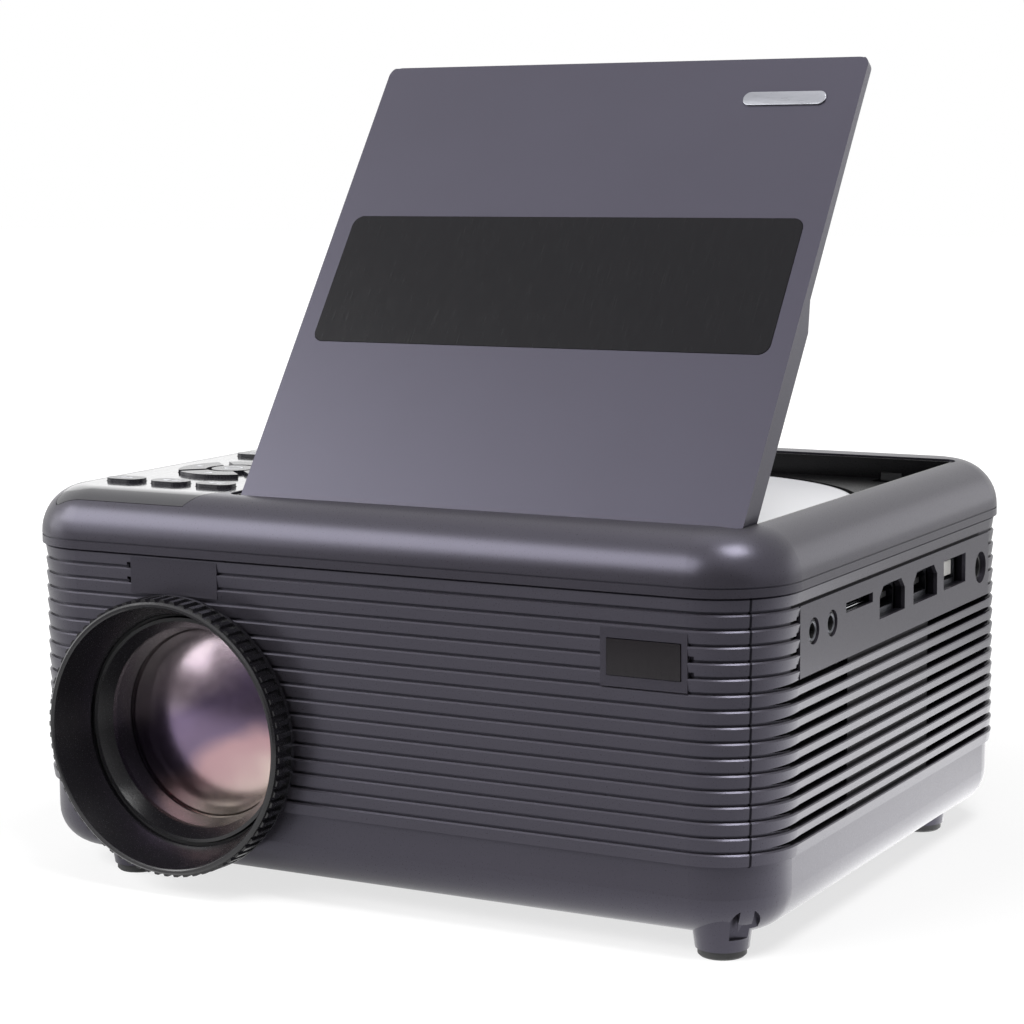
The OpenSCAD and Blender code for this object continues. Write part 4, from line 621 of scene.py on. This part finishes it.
# %% Balls of the turntable
BALL_R, BALL_OUT, BALL_DOWN = 0.9, 6.3, 1.5   # mm: radius, from the disc's axis, below the hub's top
BALL_TURNS = (30, 150, 270)
hub_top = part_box("turntable")[1].z
form = bmesh.new()
for turn in BALL_TURNS:
    ball = Vector((DISC_MIDDLE.x, DISC_MIDDLE.y, hub_top - BALL_DOWN * MM))
    ball += Vector((math.cos(math.radians(turn)), math.sin(math.radians(turn)), 0.0)) * BALL_OUT * MM
    bmesh.ops.create_uvsphere(form, u_segments=20, v_segments=12, radius=BALL_R * MM,
                              matrix=Matrix.Translation(ball))
finished(form, "turntable_balls", finishes["motor_steel"], "spindle")
print("balls", len(BALL_TURNS))

# %% [markdown]
# ## Light seal round the lens
# The ring has play round the barrel, and daylight from the vents would shine through the gap. A ring of black foam
# on the case closes it behind the funnel. It is one turned ring that leaves the barrel free to slide.

# %% Light seal round the lens
low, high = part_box("lens_barrel")
barrel_r = (high.x - low.x) / 2 / MM
SEAL_IN, SEAL_OUT = barrel_r + 0.35, barrel_r + 5.0   # mm from the lens's axis
SEAL_FRONT, SEAL_BACK = 0.5, 2.5                      # mm behind the ring
ring_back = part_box("focus_ring")[1].y
form = bmesh.new()
turned(form, [(SEAL_IN, SEAL_FRONT), (SEAL_OUT, SEAL_FRONT), (SEAL_OUT, SEAL_BACK), (SEAL_IN, SEAL_BACK)],
       Vector((LENS_AXIS.x, ring_back, LENS_AXIS.z)), BACK, steps=72)
finished(form, "lens_light_seal", finishes["inner_black"], "case")
print("seal between", round(SEAL_IN, 1), "and", round(SEAL_OUT, 1), "mm, behind y", round(ring_back / MM, 1))

# %% [markdown]
# ## Coating of the front glass
# The coating is a layer on the glass, so it gets a surface of its own: a thin cap with the dome's curve. It wears the
# coated finish, with the coating's purple and the painted reflections. The curve's radius follows from the glass's
# width and its bulge. A short list of points along the arc is spun round the axis.

# %% Coating of the front glass
BULGE, CAP_R = 4.4, GLASS_R / MM - 0.7   # mm
CAP_T, CAP_OFF = 0.03, 0.03              # mm thick, mm off the glass
ARC_STEPS, FIRST_R = 16, 0.02            # points along the arc, mm from the axis to the first of them
DOME_R = ((GLASS_R / MM) ** 2 + BULGE ** 2) / (2 * BULGE)
radii = [FIRST_R] + [CAP_R * i / ARC_STEPS for i in range(1, ARC_STEPS + 1)]
outer = [(r, math.sqrt(DOME_R ** 2 - r ** 2) - DOME_R + CAP_T + CAP_OFF) for r in radii]
inner = [(r, along - CAP_T) for r, along in reversed(outer)]
apex = Vector((LENS_AXIS.x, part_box("front_lens")[0].y, LENS_AXIS.z))
form = bmesh.new()
turned(form, outer + inner, apex, -BACK, steps=96)
finished(form, "front_lens_coating", coated, "lens")
print("dome radius", round(DOME_R, 1), "mm, apex at", [round(v / MM, 1) for v in apex])

# %% [markdown]
# ## Studio
# A white floor runs into a white background. The floor shows white to the camera and keeps the object's shadow. In
# front of the object the room is dark, which is why the lens and the funnel look deep. Seven soft boxes light it. The
# large one at the front left draws the bright band along the front's rounded top edge and lies in the lid's gloss. A
# small one shines on the lens, and a small one above the right front corner gives that corner its highlight. Two low
# ones stand behind, one hangs overhead and one stands on the left. A pool of light is painted on the floor at the
# right, where the floor glows brighter in mirrors only, and the body's right side mirrors it. The floor is also
# painted darker in mirrors ahead of the object and at its front right, as painted shade.

# %% Studio
def lamp(name, place, aim, size, watts):
    """A soft box: a white rectangular area lamp that looks at a point."""
    data = bpy.data.lights.new(name, "AREA")
    data.shape = "RECTANGLE"
    data.size, data.size_y = size
    data.energy = watts
    holder = bpy.data.objects.new(name, data)
    holder.location = place
    holder.rotation_euler = (Vector(aim) - Vector(place)).to_track_quat("-Z", "Y").to_euler()
    holder.visible_camera = False
    bpy.context.scene.collection.objects.link(holder)


BODY_MIDDLE, LENS_MIDDLE = (0.0, 0.0, 0.1), (-0.054, -0.07, 0.045)
lamp("soft_box_front_left", (-0.60, -0.72, 0.70), BODY_MIDDLE, (1.24, 0.52), 14.0)
lamp("soft_box_left", (-1.0, -0.37, 0.28), BODY_MIDDLE, (0.55, 0.4), 1.6)
lamp("soft_box_lens", (-0.76, -0.86, 0.33), LENS_MIDDLE, (0.36, 0.28), 0.75)
lamp("soft_box_overhead", (0.0, 0.05, 1.0), BODY_MIDDLE, (0.7, 0.55), 1.0)
lamp("soft_box_corner", (0.42, -0.22, 1.0), BODY_MIDDLE, (0.38, 0.38), 8.0)
lamp("soft_box_back_right", (0.66, 0.845, 0.25), BODY_MIDDLE, (0.8, 0.42), 0.8)
lamp("soft_box_back_left", (-0.72, 0.8, 0.42), BODY_MIDDLE, (0.6, 0.45), 0.7)

BACK_GLOW, FRONT_GLOW = 1.0, 0.16   # what a mirror sees of the room behind and above, and low in front
ROOM_LIGHT = 0.18                   # what the room adds to the lamps on a matt face
world = bpy.data.worlds.new("studio")
bpy.context.scene.world = world
world.use_nodes = True
tree = world.node_tree
tree.nodes.clear()
seen = add(tree, "LightPath")
upward = add(tree, "VectorMath", {"operation": "DOT_PRODUCT", 1: (0.0, 1.0, 0.9)},
             {0: add(tree, "TexCoord").outputs["Generated"]}).outputs["Value"]
room = add(tree, "MapRange", {"interpolation_type": "SMOOTHSTEP", "From Min": -0.55, "From Max": 0.05,
                              "To Min": FRONT_GLOW, "To Max": BACK_GLOW}, {"Value": upward})
soft = add(tree, "Mix", {"data_type": "FLOAT", 2: ROOM_LIGHT},
           {0: seen.outputs["Is Glossy Ray"], 3: room.outputs["Result"]})
direct = add(tree, "Math", {"operation": "MAXIMUM"},
             {0: seen.outputs["Is Camera Ray"], 1: seen.outputs["Is Transmission Ray"]})
strength = add(tree, "Mix", {"data_type": "FLOAT", 3: 1.0}, {0: direct.outputs[0], 2: soft.outputs[0]})
air = add(tree, "Background", {"Color": (1.0, 1.0, 1.0, 1.0)}, {"Strength": strength.outputs[0]})
add(tree, "OutputWorld", {}, {"Surface": air.outputs["Background"]})

FLOOR_FRONT, FLOOR_FAR = -0.42, 4.0
surface = bmesh.new()
bmesh.ops.create_grid(surface, x_segments=1, y_segments=1, size=FLOOR_FAR)
for corner_vert in surface.verts:
    corner_vert.co.y = max(corner_vert.co.y, FLOOR_FRONT)
floor_mesh = bpy.data.meshes.new("floor")
surface.to_mesh(floor_mesh)
surface.free()
floor = bpy.data.objects.new("floor", floor_mesh)
bpy.context.scene.collection.objects.link(floor)
floor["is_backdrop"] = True

GLOW_SHARE = 0.7                     # of the floor's white that is its own light, to the camera and in mirrors
NEAR_GLOW, FAR_GLOW = 1.03, 1.45     # to the camera, under the object and half a metre away
GLOW_NEAR, GLOW_FAR = 0.12, 0.5      # metres from the middle, between which it grows
POOL_GLOW, ROUND_GLOW = 3.9, 0.85    # in mirrors, in the painted pool of light at the right and all round it
POOL_MIDDLE = (0.13, 0.07, 0.0)
POOL_NEAR, POOL_FAR = 0.05, 0.22     # metres from the pool's middle, between which it fades
DARK_NEAR, DARK_FAR = 0.19, 0.36     # metres ahead, between which the floor is painted darker in mirrors
DARK_SHARE = 0.12                    # of the light that is left there


def floor_ramp(tree, source, near, far, near_value, far_value):
    """A smooth change from near_value to far_value as source goes from near to far."""
    return add(tree, "MapRange", {"interpolation_type": "SMOOTHSTEP", "From Min": near, "From Max": far,
                                  "To Min": near_value, "To Max": far_value}, {"Value": source}).outputs["Result"]


paper, tree, shader = new_finish("white_paper_floor", "f4f4f4", Roughness=0.9)
spot = add(tree, "TexCoord").outputs["Object"]
grain = add(tree, "TexNoise", {"Scale": per_mm(1.2), "Detail": 3.0}, {"Vector": spot})
relief = add(tree, "Bump", {"Distance": 0.01 * MM}, {"Height": grain.outputs["Fac"]})
tree.links.new(relief.outputs["Normal"], shader.inputs["Normal"])

away = add(tree, "VectorMath", {"operation": "LENGTH"}, {0: spot}).outputs["Value"]
to_camera = floor_ramp(tree, away, GLOW_NEAR, GLOW_FAR, NEAR_GLOW, FAR_GLOW)
# Painted light: in mirrors the floor glows brighter in a pool at the right and is painted darker ahead of the object.
from_pool = add(tree, "VectorMath", {"operation": "DISTANCE", 1: POOL_MIDDLE}, {0: spot}).outputs["Value"]
pool = floor_ramp(tree, from_pool, POOL_NEAR, POOL_FAR, POOL_GLOW, ROUND_GLOW)
shades = []
for toward in ((0.0, -1.0, 0.0), (0.6, -0.8, 0.0)):   # painted shade in mirrors, in front and at the front right
    ahead = add(tree, "VectorMath", {"operation": "DOT_PRODUCT", 1: toward}, {0: spot}).outputs["Value"]
    shades.append(floor_ramp(tree, ahead, DARK_NEAR, DARK_FAR, 1.0, DARK_SHARE))
shade = add(tree, "Math", {"operation": "MULTIPLY"}, {0: shades[0], 1: shades[1]}).outputs[0]
in_mirror = add(tree, "Math", {"operation": "MULTIPLY"}, {0: pool, 1: shade}).outputs[0]

seen = add(tree, "LightPath")
straight = add(tree, "Math", {"operation": "MAXIMUM"},
               {0: seen.outputs["Is Camera Ray"], 1: seen.outputs["Is Transmission Ray"]})
strength = add(tree, "Mix", {"data_type": "FLOAT"}, {0: straight.outputs[0], 2: in_mirror, 3: to_camera})
glow = add(tree, "Emission", {"Color": (1.0, 1.0, 1.0, 1.0)}, {"Strength": strength.outputs[0]})
mirrored = add(tree, "Math", {"operation": "MAXIMUM"}, {0: straight.outputs[0], 1: seen.outputs["Is Glossy Ray"]})
share = add(tree, "MapRange", {"To Min": 0.0, "To Max": GLOW_SHARE}, {"Value": mirrored.outputs[0]})
mixed = add(tree, "MixShader", {}, {0: share.outputs["Result"], 1: shader.outputs["BSDF"],
                                    2: glow.outputs["Emission"]})
tree.links.new(mixed.outputs["Shader"], tree.nodes["Material Output"].inputs["Surface"])
floor_mesh.materials.append(paper)

# %% [markdown]
# ## Print the size
# The fine pieces must not make the object larger than its construction. The box round everything visible is printed
# in mm.

# %% Print the size
low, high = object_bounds()
print("visual box in mm", [round(v / MM, 1) for v in (*low, *high)])
